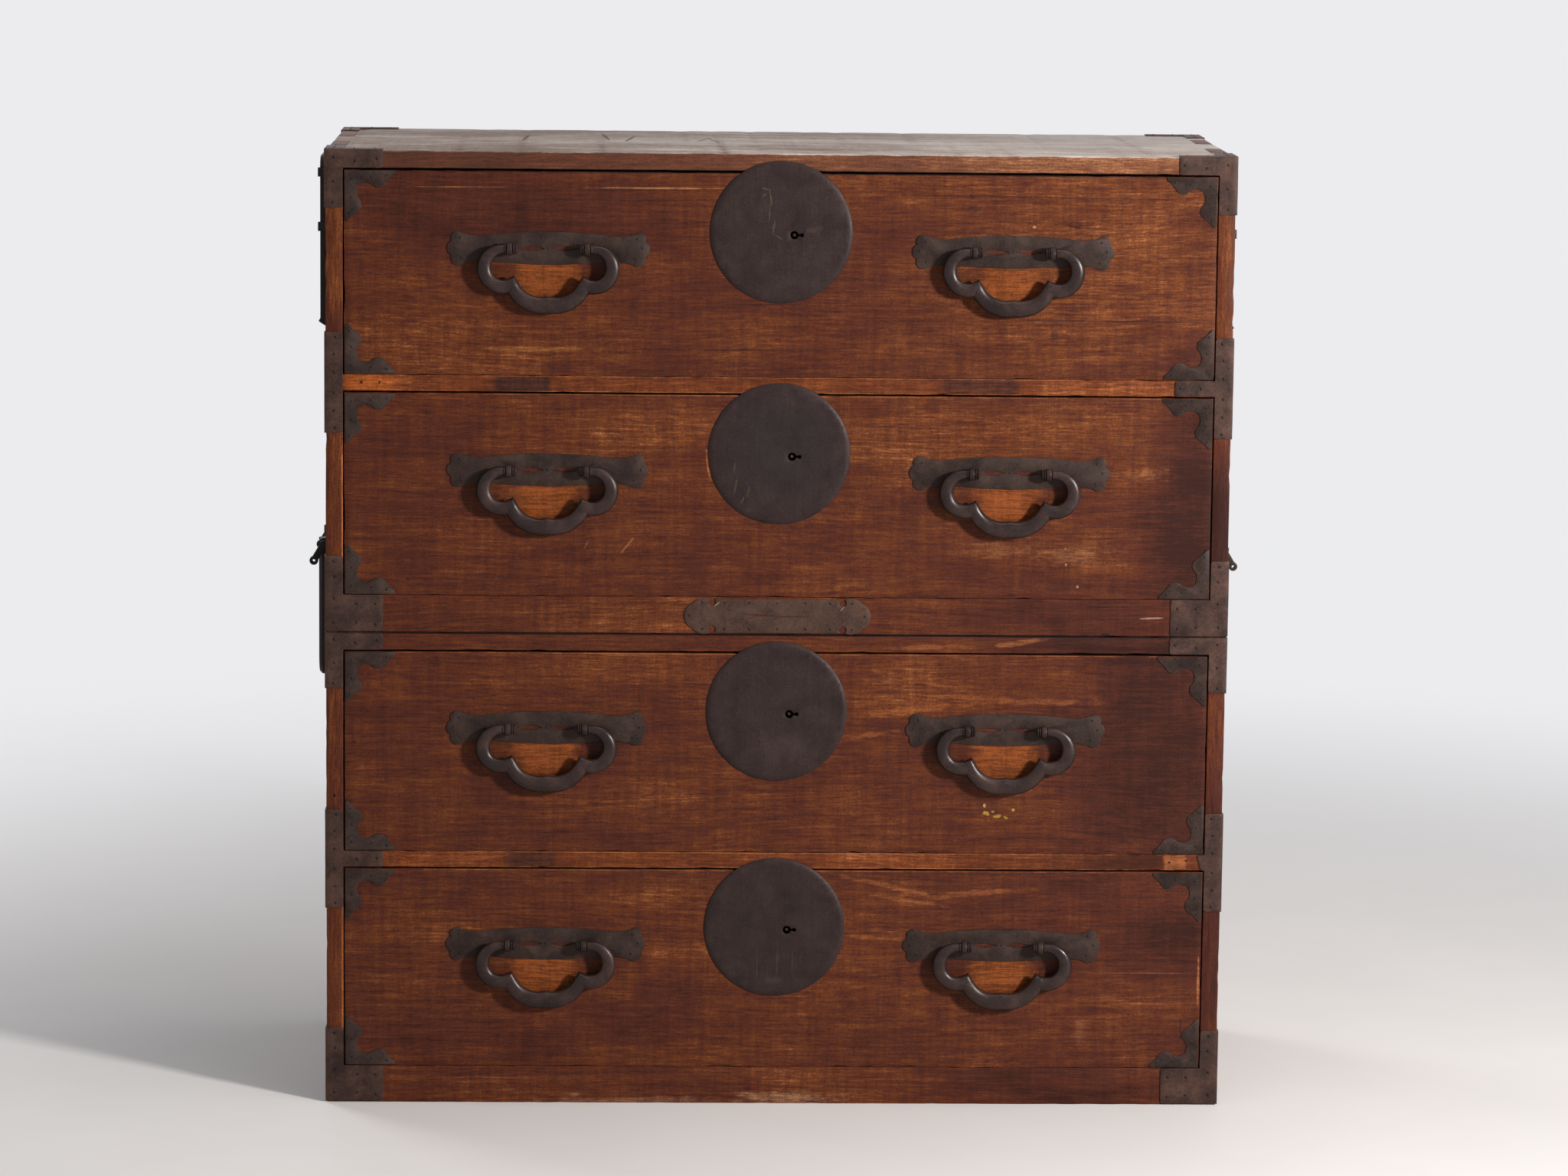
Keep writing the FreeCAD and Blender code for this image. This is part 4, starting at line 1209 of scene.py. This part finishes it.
    def add_corner_nails(self, nails: NailSet, x_out: float, z: float) -> None:
        """Adds the nails of the angle irons on the top's corners.

        Args:
            nails: The set that takes them.
            x_out: The outside of the side board, in metres.
            z: The top of the irons, in metres.
        """
        front, back = (corner.y for corner in span("upper_sides"))
        x = x_out - 9 * MM
        for sign in (-1, 1):
            for y, way in ((front, 1), (back, -1)):
                row = [(sign * x, y + way * away * MM, z) for away in (10, 34, 58)]
                row += [(sign * (x - away * MM), y + way * 10 * MM, z) for away in (24, 48)]
                nails.add_row(row, (0.0, 0.0, 1.0))
                x_side = x_out + self.side_iron * MM
                row = [(sign * x_side, y + way * away * MM, z - 11 * MM) for away in (10, 34, 58)]
                nails.add_row(row, (float(sign), 0.0, 0.0))


@dataclass(frozen=True)
class BailForm:
    """The forged bail's bar, from its pins round the side lobe to the middle one, in millimetres.

    Attributes:
        start: Where the bar leaves the pin.
        shoulder: Where the side lobe begins.
        outer: The furthest point of the side lobe.
        waist: The corner between the lobes.
        bottom: The height of the middle lobe's lowest point.
        eye_size: The bar's half width and half depth at the pin.
        side_size: The same halfway round the side lobe.
        waist_size: The same at the corner.
        bottom_size: The same at the bottom.
        bulge: How far the middle lobe swells out of a plain arc between its corners and its bottom.
        square: How square the bar's section is, 2 for an oval.
        ring: The points round the section.
        side_steps: The steps round half a side lobe.
        lobe_steps: The steps round half the middle lobe.
        pintle: The turned profile in the eye, as places along the axis and radii.
        turned: The points round the pintle.
    """

    start: float = 48.4
    shoulder: float = 54.0
    outer: tuple[float, float] = (74.2, -18.5)
    waist: tuple[float, float] = (42.6, -41.4)
    bottom: float = -64.6
    eye_size: tuple[float, float] = (5.0, 4.6)
    side_size: tuple[float, float] = (8.4, 6.2)
    waist_size: tuple[float, float] = (8.3, 6.3)
    bottom_size: tuple[float, float] = (10.2, 7.0)
    bulge: float = 2.5
    square: float = 2.5
    ring: int = 20
    side_steps: int = 13
    lobe_steps: int = 18
    pintle: tuple[tuple[float, float], ...] = (
        (51.2, 0.0), (51.2, 4.6), (50.9, 5.7), (50.3, 6.2), (49.3, 6.2), (48.7, 5.8), (48.4, 5.0),
        (48.4, 3.5), (41.6, 3.5), (41.6, 5.0), (41.3, 6.0), (40.7, 6.6), (39.9, 6.6), (39.4, 6.1),
        (39.0, 4.8), (38.7, 4.8), (38.4, 5.6), (37.9, 6.1), (37.2, 6.1), (36.6, 5.5), (36.2, 4.2),
        (36.2, 0.0))
    turned: int = 18


@dataclass
class Station:
    """One section of a swept bar, in the XZ plane about the hinge axis, in millimetres.

    Attributes:
        x: Its middle's place along the axis.
        z: Its middle's height over the axis.
        out_x: The part along the axis of the way out of the bend.
        out_z: The upright part of that way.
        wide: Half its width.
        deep: Half its depth.
    """

    x: float
    z: float
    out_x: float
    out_z: float
    wide: float
    deep: float

    def mirrored(self) -> "Station":
        """Gives the station on the bail's other side."""
        return replace(self, x=-self.x, out_x=-self.out_x)


def arc_through(a: tuple, b: tuple, c: tuple, count: int) -> list[tuple[float, float, float, float]]:
    """Spreads points along the arc through three points.

    Args:
        a: The first point.
        b: A point on the way.
        c: The last point.
        count: The number of steps.

    Returns:
        For each point its place, and the direction out of the arc.
    """
    d = 2 * (a[0] * (b[1] - c[1]) + b[0] * (c[1] - a[1]) + c[0] * (a[1] - b[1]))
    squares = [p[0] ** 2 + p[1] ** 2 for p in (a, b, c)]
    cx = (squares[0] * (b[1] - c[1]) + squares[1] * (c[1] - a[1]) + squares[2] * (a[1] - b[1])) / d
    cz = (squares[0] * (c[0] - b[0]) + squares[1] * (a[0] - c[0]) + squares[2] * (b[0] - a[0])) / d
    radius = math.hypot(a[0] - cx, a[1] - cz)
    first, way, last = (math.atan2(p[1] - cz, p[0] - cx) for p in (a, b, c))
    turn = (last - first) % math.tau
    if (way - first) % math.tau > turn:
        turn -= math.tau
    angles = [first + turn * index / count for index in range(count + 1)]
    outward = [(math.cos(angle), math.sin(angle)) for angle in angles]
    return [(cx + radius * x, cz + radius * z, x, z) for x, z in outward]


def skin(mesh: bmesh.types.BMesh, rings: list[list[bmesh.types.BMVert]]) -> None:
    """Joins rings of points with faces, where a ring may be one point.

    Args:
        mesh: The mesh that holds the points.
        rings: The rings in order.
    """
    for one, two in zip(rings, rings[1:]):
        count = max(len(one), len(two))
        for index in range(count):
            pair = (index, (index + 1) % count)
            corners = [one[i % len(one)] for i in pair] + [two[i % len(two)] for i in reversed(pair)]
            mesh.faces.new(list(dict.fromkeys(corners)))


@dataclass
class Bail:
    """One drawer bail: a swept bar with turned pintles and knobs.

    Attributes:
        drawer: The drawer's number.
        side: left or right.
        form: The bar's sizes.
    """

    drawer: int
    side: str
    form: BailForm = BailForm()

    def stations(self) -> list[Station]:
        """Gives the bar's sections from the right pin to the left one.

        Returns:
            The sections in order.
        """
        f = self.form
        # The straight end and the side lobe.
        right = [Station(x, 0.0, 0.0, 1.0, *f.eye_size) for x in (f.start, (f.start + f.shoulder) / 2)]
        side = arc_through((f.shoulder, 0.0), f.outer, f.waist, 2 * f.side_steps)
        for index, place in enumerate(side):
            share = index / f.side_steps
            one, two = (f.eye_size, f.side_size) if share < 1 else (f.side_size, f.waist_size)
            eased = math.sin(share * math.pi / 2) if share < 1 else (share - 1) ** 1.5
            right.append(Station(*place, *(p + (q - p) * eased for p, q in zip(one, two))))
        lobe = arc_through(f.waist, (0.0, f.bottom), (-f.waist[0], f.waist[1]), 2 * f.lobe_steps)
        # The corner between the lobes is mitred.
        last = right.pop()
        mean = Vector((last.out_x + lobe[0][2], last.out_z + lobe[0][3])).normalized()
        widen = 1 / (mean.x * last.out_x + mean.y * last.out_z)
        right.append(Station(last.x, last.z, mean.x, mean.y, last.wide * widen, last.deep))
        # Half the middle lobe, and then the other side as a mirror image.
        for index in range(1, f.lobe_steps + 1):
            x, z, out_x, out_z = lobe[index]
            share = index / f.lobe_steps
            size = [p + (q - p) * share for p, q in zip(f.waist_size, f.bottom_size)]
            bulge = f.bulge * math.sin(math.pi * share)
            right.append(Station(x + out_x * bulge, z + out_z * bulge, out_x, out_z, *size))
        return right + [s.mirrored() for s in reversed(right[:-1])]

    def sweep(self, mesh: bmesh.types.BMesh, place: Vector) -> None:
        """Sweeps the bar's section along its stations.

        Args:
            mesh: The bail's mesh.
            place: The middle of the bail's axis, in metres.
        """
        rings = []
        power = 2 / self.form.square
        for station in self.stations():
            ring = []
            for index in range(self.form.ring):
                angle = math.tau * (index + 0.5) / self.form.ring
                c, s = math.cos(angle), math.sin(angle)
                out = math.copysign(abs(c) ** power, c) * station.wide
                deep = math.copysign(abs(s) ** power, s) * station.deep
                local = Vector((station.x + station.out_x * out, deep, station.z + station.out_z * out))
                ring.append(mesh.verts.new(place + local * MM))
            rings.append(ring)
        skin(mesh, rings)
        mesh.faces.new(rings[0])
        mesh.faces.new(rings[-1])

    def turn_pintle(self, mesh: bmesh.types.BMesh, place: Vector, sign: int) -> None:
        """Turns the pintle in the eye and the knob inside it.

        Args:
            mesh: The bail's mesh.
            place: The middle of the bail's axis, in metres.
            sign: The bail's side, 1 for the right.
        """
        rings = []
        for x, radius in self.form.pintle:
            count = self.form.turned if radius else 1
            ring = []
            for index in range(count):
                angle = math.tau * index / count
                local = Vector((sign * x, radius * math.cos(angle), radius * math.sin(angle)))
                ring.append(mesh.verts.new(place + local * MM))
            rings.append(ring)
        skin(mesh, rings)

    def build(self) -> None:
        """Builds the bail in the place of its CAD node."""
        node = f"drawer_{self.drawer}_handle_{self.side}"
        place = hinge(f"bail_{self.drawer}_{self.side}_swing")
        mesh = bmesh.new()
        self.sweep(mesh, place)
        for sign in (-1, 1):
            self.turn_pintle(mesh, place, sign)
        bmesh.ops.recalc_face_normals(mesh, faces=mesh.faces)
        body = f"bail_{self.drawer}_{self.side}"
        put_in_place(mesh, node + "_forged", BAIL_IRON, node, body)


@dataclass
class Drawer:
    """One drawer: its front and box, its plates, lock and bails.

    Attributes:
        number: The drawer, 1 at the top.
        shift: The shift of the wood's pattern.
        wear: How light its front is on the whole.
        zones: Its lighter and darker zones.
        marks: The marks on its front, besides the worn spots behind the bails.
        lock_marks: The marks on its lock plate.
        bail_x: How far the bails' middles are from the drawer's, in millimetres.
        plate: The thickness of the handle plates, in millimetres.
        front_wear: How its front is worn.
    """

    number: int
    shift: Point
    wear: float
    zones: tuple[Zone, ...]
    marks: tuple[Mark, ...]
    lock_marks: tuple[Mark, ...]
    bail_x: float = 270.0
    plate: float = 1.6
    front_wear: Wear = Wear(0.8, 3, 8.0, 0.28, 11.0, nicks=0.9)

    @property
    def body(self) -> str:
        """The body that the drawer's nodes ride on, which starts their names."""
        return f"drawer_{self.number}"

    def eye_height(self) -> float:
        """Gives the height of the bails' axes in millimetres."""
        return hinge(f"bail_{self.number}_left_swing").z / MM

    def front_finish(self) -> WoodFinish:
        """Gives the front's finish, worn behind each bail, with painted shade behind each plate seen through
        its slots, a pale top edge line that is partly wear and partly painted highlight, and bare within.

        Returns:
            The finish.
        """
        eye = self.eye_height()
        high = span(self.body + "_front")[1]
        middles = (-self.bail_x, self.bail_x)
        worn = [(x, eye - 35, 44, 26, 0, 0.85, WORN_ORANGE, 0.9, 0.5) for x in middles]
        # Painted shade in the wood seen through each handle plate's slots.
        dark = [(x, eye, 44, 6, 0, 0.85, SHADED, 0.5, 0.5) for x in middles]
        # A pale line along the front's top edge: partly wear, partly painted highlight.
        top_edge_wear_and_highlight = (0, high.z / MM - 0.9, 470, 0.6, 0, 0.35, WORN_AND_LIT_EDGE, 1.8)
        own_marks = marks(*worn, shape=Shape.SQUARE) + marks(*dark, top_edge_wear_and_highlight) + self.marks
        return WoodFinish(self.body + "_front_wood", Palette.lacquer, Grain.ACROSS, self.shift, self.wear,
                          self.zones, marks=own_marks, bare_above=high.y / MM - 1.6, bare_way="Y",
                          bare_tones=Palette.softwood[:4])

    def build(self) -> None:
        """Dresses the drawer's pieces and forges its bails."""
        box_wood = WoodFinish(self.body + "_box_wood", Palette.softwood, Grain.DEEP, self.shift, 0.5,
                              **BARE_INSIDE)
        lock_iron = IronFinish(f"lock_{self.number}_iron", tones((32, 23, 22), (43, 32, 31), (56, 43, 41)),
                               tone(58, 39, 33), 0.25, gloss=0.16, mottle=0.4, brushed=0.2,
                               marks=self.lock_marks)
        front_wear = replace(self.front_wear, seed=self.number * 7.3)
        for part, body, slot, wear, finish in (
            ("front", self.body, "drawer_wood", front_wear, self.front_finish()),
            ("box", self.body, "inner_wood", Wear(0.6, 2), box_wood),
            ("corner_plates", self.body, "strap_iron", Wear(0.25, 2), PLATE_IRON),
            ("lock_plate", self.body, "lock_iron", Wear(0.4, 2, 8.0, 0.22, 16.0), lock_iron),
            ("lock_case", self.body, "forged_iron", Wear(0.4, 1), STRAP_IRON),
            ("lock_bolt", f"bolt_{self.number}", "forged_iron", Wear(0.4, 1), BAIL_IRON),
            ("handle_plates", self.body, "strap_iron", Wear(0.3, 2), PLATE_IRON),
        ):
            dress(f"{self.body}_{part}", body, wear, finish)
        for side in ("left", "right"):
            Bail(self.number, side).build()
        self.nails().build()

    def nails(self) -> NailSet:
        """Sets the nails of the corner plates and handle plates.

        Returns:
            The set of nails.
        """
        nails = NailSet(self.body, self.number)
        low, high = span(self.body + "_corner_plates")
        arm = ((8, 9.5), (31, 8), (49, 5.5), (8, 31), (5.5, 50))
        for x_edge, way_x in ((low.x, 1), (high.x, -1)):
            for z_edge, way_z in ((low.z, 1), (high.z, -1)):
                points = [(x_edge + way_x * x * MM, low.y, z_edge + way_z * z * MM) for x, z in arm]
                nails.add_row(points, size=CORNER_NAIL)
        y_plate = span(self.body + "_front")[0].y - self.plate * MM
        eye = self.eye_height()
        lobes = ((-109, 1), (-102.5, 12), (-101, -11.5), (0, 0.5), (109, 1), (102.5, 12), (101, -11.5))
        for middle in (-self.bail_x, self.bail_x):
            points = [((middle + x) * MM, y_plate, (eye + z) * MM) for x, z in lobes]
            nails.add_row(points, size=HANDLE_NAIL)
        return nails


DRAWERS = (
    Drawer(1, (1.7, 0.4, 2.3), 0.44, zones(
        (-380, 1060, 240, 60, -0.09), (-160, 1060, 120, 50, -0.05), (-380, 900, 180, 40, 0.05),
        (150, 1050, 80, 50, -0.05), (350, 970, 240, 120, 0.12), (490, 890, 50, 50, -0.12),
    # The next mark is painted shadow in the gap along the front's top edge.
    ), marks((0, 1104.6, 506, 1.1, 0, 0.85, GAP_SHADOW, 0.3), shape=Shape.SQUARE) + marks(
        (286, 1080, 204, 0.9, -0.5, 0.6, DARK, 0.4),
        (-60, 1026, 150, 0.6, 0.3, 0.4, DARK, 0.9),
        (60, 952, 230, 0.6, -0.3, 0.35, DARK, 0.9),
        (-360, 922, 120, 0.6, 0.4, 0.35, DARK, 0.9),
        (385, 936, 125, 0.9, -0.4, 0.7, DARK, 0.4),
        (-370, 1086, 60, 0.8, 0, 0.4, (140, 96, 60), 1.4),
        (-150, 1086.5, 80, 1, 0, 0.55, (150, 104, 66), 1.2),
        (-150, 1083.5, 90, 0.8, 0, 0.5, DARK, 1.0),
        (-200, 1072, 120, 0.7, 0, 0.4, DARK, 1.4),
        (-290, 898, 75, 3.4, 0, 0.5, (146, 92, 48), 1.3, 0.6),
        (-60, 899, 130, 1.4, 0, 0.45, DARK, 1.6),
        (224, 1066, 8, 5, 0, 0.75, (60, 34, 26)),
        (320, 919, 5, 7, 0, 0.7, (64, 36, 28)),
        (340, 1046, 9, 1.6, -12, 0.7),
        (294, 1045, 4.6, 4, 0, 0.8, (70, 40, 30), 0.2),
        (294, 1045, 2.4, 2, 0, 0.9, (156, 96, 58), 0.2),
    ), marks(
        (-19, 1087, 6, 1.1, -14, 0.45, (96, 84, 66)), (-13, 1077, 1.1, 11, 8, 0.45, (94, 82, 64)),
        (-20, 1080, 3.4, 1.2, 34, 0.4, (92, 80, 64)), (-14, 1058, 1.1, 14, -4, 0.35, (86, 74, 60)),
        (-9, 1042, 1.2, 11, -10, 0.38, (88, 76, 62)), (-3, 1031, 6, 1.1, -30, 0.42, (92, 80, 66)),
        ragged=1.8, fade=0.6,
    ) + marks((38, 1040, 10, 5, 0, 0.3, (72, 60, 54), 2.4, 0.8))),
    Drawer(2, (5.2, 1.1, 7.9), 0.41, zones(
        (190, 800, 130, 60, 0.13), (330, 815, 130, 36, 0.10), (490, 710, 90, 150, -0.23),
        (425, 752, 50, 30, 0.16), (372, 661, 80, 36, 0.08), (262, 664, 80, 36, 0.06),
        (-200, 800, 160, 44, 0.07), (-440, 690, 120, 80, -0.03), (120, 700, 90, 60, 0.06),
    ), marks(
        (428, 756, 30, 10, 0, 0.35, (142, 92, 58), 3.0, 0.9),
        (352, 660, 46, 12, 4, 0.26, (140, 94, 64), 3.4, 0.9),
        (262, 664, 50, 12, 0, 0.22, (136, 88, 56), 3.4, 0.9),
        (154, 684, 14, 22, 0, 0.3, (66, 30, 26), 2.4, 0.9),
        (-82.5, 763, 2.6, 20, 8, 0.7, (146, 84, 44), 1.0, 0.6),
        (352, 623, 1.7, 1.9, 0, 0.7, (160, 126, 102), 0.8),
        (338, 649, 1.5, 1.8, 0, 0.65, (158, 122, 98), 0.8),
        (337, 668, 1.2, 1.2, 0, 0.6, (154, 118, 94), 0.8),
        (-177, 668, 13, 1.6, 50, 0.45, (150, 100, 66), 1.6, 0.6),
        (-224, 670, 9, 1.2, 62, 0.3, (140, 92, 60), 1.6, 0.6),
        (-106, 783, 60, 0.6, 0, 0.5, DARK, 0.9),
        (-180, 678, 90, 0.6, 0.5, 0.4, DARK, 0.9),
        (-433, 627, 1.8, 1.8, 0, 0.9, DARK, 0.1),
        (-20, 716, 480, 0.7, 0, 0.45, DARK, 0.9),
    ), marks(
        (-52, 762, 1.5, 10, -4, 0.3), (-50, 742, 1.5, 14, -10, 0.4), (-42, 724, 1.5, 8, -24, 0.4),
        (-36, 732, 1.5, 9, -12, 0.3), (-26, 790, 1.5, 16, 2, 0.15), colour=(92, 76, 62), ragged=2.2, fade=0.7,
    ) + marks((4, 784, 92, 84, 0, 0.6, (37, 30, 32), 1.4, 0.9))),
    Drawer(3, (9.1, 2.6, 4.4), 0.41, zones(
        (170, 500, 130, 50, 0.14), (330, 520, 90, 34, 0.06), (450, 420, 150, 190, -0.2),
        (-400, 500, 120, 50, 0.05), (-150, 400, 120, 60, 0.02),
    ), marks(
        (165, 475, 90, 6, 6.8, 0.42, (134, 75, 38), 2.6, 0.8),
        (316, 486, 90, 5, 0, 0.4, (134, 76, 40), 2.6, 0.8),
        (115, 445.5, 40, 4, 7, 0.38, (132, 74, 38), 2.6, 0.8),
        (160, 512, 70, 3, -14, 0.35, (130, 74, 38), 2.6, 0.8),
        (-148, 350, 48, 10, -48, 0.35, (66, 33, 23), 1.6, 0.9),
        (-190, 372, 60, 12, -8, 0.3, (66, 33, 23), 1.6, 0.9),
        (247, 361, 2, 2.6, 0, 0.8, (164, 140, 84), 1.4),
        (249, 352, 4.6, 2.6, -20, 0.7, (160, 132, 52), 2.4),
        (257, 354, 2.4, 2, 0, 0.75, (158, 130, 60), 1.8),
        (263, 349, 5, 2.2, 12, 0.65, (150, 120, 46), 2.6),
        (272, 347, 3, 1.6, -30, 0.65, (154, 124, 50), 2.2),
        (281, 356, 1.9, 1.9, 0, 0.8, (172, 148, 72), 1.2),
        (-150, 366, 90, 1.6, 3, 0.3, (134, 76, 40), 2.2, 0.6),
        (-496, 434, 3, 1.8),
        (352, 380, 16, 4, 0, 0.5, (54, 32, 30), 1.0, 0.6),
    ), marks((10, 430, 50, 30, 0, 0.3, (66, 50, 46), 1.2, 0.9))),
    Drawer(4, (13.7, 0.9, 11.2), 0.41, zones(
        (200, 250, 180, 40, 0.02), (-150, 240, 160, 40, 0.07), (-430, 230, 110, 50, 0.05),
        (-100, 178, 110, 22, 0.08), (-168, 105, 130, 60, -0.05), (420, 100, 120, 50, 0.04),
        (470, 200, 100, 70, -0.12),
    ), marks(
        (133, 264, 64, 4.2, -12, 0.45, (142, 84, 48), 2.4, 0.8),
        (240, 256, 70, 4, 4, 0.4, (138, 80, 44), 2.4, 0.8),
        (160, 246, 64, 3.2, -9, 0.36, (136, 80, 44), 2.4, 0.8),
        (115, 201.5, 42, 3.6, -5, 0.4, (134, 75, 38), 2.4, 0.8),
        (-80, 186, 50, 4, -2, 0.4, (140, 82, 42), 2.2, 0.8),
        (-440, 230, 56, 0.6, 0, 0.5, DARK, 0.9),
        (-420, 207, 80, 0.6, -1, 0.4, DARK, 1.2),
        (484.5, 92, 0.9, 14, 0, 0.95, DARK, 0.2, 0.3, Shape.SQUARE),
        (365, 90, 9, 18, 0, 0.35, (122, 76, 54), 1.4, 0.7),
        (420, 176, 90, 0.8, 0, 0.5, DARK, 0.8),
        (430, 160, 70, 0.8, 0, 0.3, (140, 86, 52), 1.4),
        (504.5, 150, 1.6, 30, 0, 0.55, (146, 92, 56), 1.6),
    ), marks(
        (0, 150, 12, 5, 0, 0.3, (74, 58, 50), 2.2, 0.8),
        (-20, 170, 1.4, 24, 0, 0.25, (78, 64, 56), 2.0, 0.7),
        (4, 176, 1.4, 22, 0, 0.25, (76, 62, 54), 2.0, 0.7),
        (22, 172, 1.4, 18, 0, 0.2, (76, 62, 54), 2.0, 0.7),
    )),
)


@dataclass
class SideHardware:
    """The pole loops, their bands, the side bails and their pins.

    Attributes:
        loop_wear: The wear of the loops.
        bail_wear: The wear of the side bails.
        small_wear: The wear of the bands and pins.
        leg_y: How far a loop's legs are from its middle, in millimetres.
        flange: The thickness of a band's flanges, in millimetres.
        nail_y: How far a band's nails are from its leg, in millimetres.
        nail_z: How far they are from the bands' ends, in millimetres.
    """

    loop_wear: Wear = Wear(1.3, 3)
    bail_wear: Wear = Wear(1.2, 3)
    small_wear: Wear = Wear(0.5, 2)
    leg_y: float = 85.0
    flange: float = 2.2
    nail_y: float = 12.0
    nail_z: float = 5.25

    def build(self) -> None:
        """Dresses every side piece."""
        for side in ("left", "right"):
            dress("pole_loop_" + side, "pole_loop_" + side, self.loop_wear, SIDE_IRON)
            dress("side_bail_" + side, "side_bail_" + side, self.bail_wear, SIDE_IRON)
        for node in ("pole_loop_bands", "side_bail_pins"):
            dress(node, "upper_case", self.small_wear, SIDE_IRON)

    def add_nails(self, nails: NailSet) -> None:
        """Adds the nails through the bands' flanges.

        Args:
            nails: The set that takes them.
        """
        low, high = span("pole_loop_bands")
        middle = (low.y + high.y) / 2
        x = span("upper_sides")[1].x + self.flange * MM
        for sign in (-1, 1):
            for leg in (-self.leg_y, self.leg_y):
                for z in (high.z - self.nail_z * MM, low.z + self.nail_z * MM):
                    row = [(sign * x, middle + (leg + away) * MM, z) for away in (-self.nail_y, self.nail_y)]
                    nails.add_row(row, (float(sign), 0.0, 0.0), BAND_NAIL)


@dataclass
class NamePlate:
    """The long bare plate on the upper base rail.

    Attributes:
        wear: How it is worn.
        nail_x: The places of the pairs of nails along it, in millimetres.
        nail_z: How far a nail of a pair is from its middle line, in millimetres.
        end_x: The place of the single nail in its end, in millimetres.
    """

    wear: Wear = Wear(0.3, 2, 7.0, 0.15, 30.0)
    nail_x: tuple[float, ...] = (-88.0, -62.0, -33.0, 0.0, 33.0, 62.0, 88.0)
    nail_z: float = 15.5
    end_x: float = 103.0

    def build(self) -> None:
        """Dresses the plate, with a faint rust line and two bright scratches."""
        low, high = span("name_plate")
        middle = (low.z + high.z) / 2 / MM
        own_marks = marks(
            (-22, middle + 1.2, 20, 1.1, -3, 0.85, (52, 24, 17), 1.3),
            (16, middle - 0.4, 22, 0.9, 1, 0.85, (52, 24, 17), 1.3),
            (-30, middle - 1.6, 8, 0.8, 12, 0.7, (60, 29, 21), 1.0),
            (34, middle - 2, 6, 0.7, -14, 0.6, (60, 29, 21), 1.0),
            (-71, middle + 14, 4.5, 0.7, 38, 0.7, (140, 126, 104), 0.4),
            (76, middle + 9, 4, 0.7, 52, 0.7, (130, 120, 104), 0.4),
        )
        iron = IronFinish("name_plate_iron", tones((43, 30, 25), (64, 46, 38), (82, 61, 50)), Palette.rust,
                          mottle=0.5, marks=own_marks)
        dress("name_plate", "upper_case", self.wear, iron)

    def add_nails(self, nails: NailSet) -> None:
        """Adds the nails along the plate's edges and in its lobes.

        Args:
            nails: The set that takes them.
        """
        low, high = span("name_plate")
        middle = (low.z + high.z) / 2
        row = [(x * MM, low.y, middle + sign * self.nail_z * MM) for x in self.nail_x for sign in (-1, 1)]
        row += [(x * MM, low.y, middle) for x in (-self.end_x, self.end_x)]
        nails.add_row(row, size=CORNER_NAIL)


def main() -> None:
    """Builds the chest's sections, drawers and side hardware in order."""
    logging.basicConfig(level=logging.INFO, format="%(name)s: %(message)s")
    noise.seed_set(SWELL_SEED)
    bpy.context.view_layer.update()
    Stage().build()
    lower, upper = CaseSection("lower", 2.0), CaseSection("upper", 21.0)
    lower.build()
    upper.build()
    plate = NamePlate()
    plate.build()
    hardware = SideHardware()
    hardware.build()
    for drawer in DRAWERS:
        drawer.build()
    upper_nails = NailSet("upper_case", 11)
    for piece in (upper, plate, hardware):
        piece.add_nails(upper_nails)
    upper_nails.build()
    lower_nails = NailSet("lower_case", 12)
    lower.add_nails(lower_nails)
    lower_nails.build()


if __name__ == "__main__":
    main()
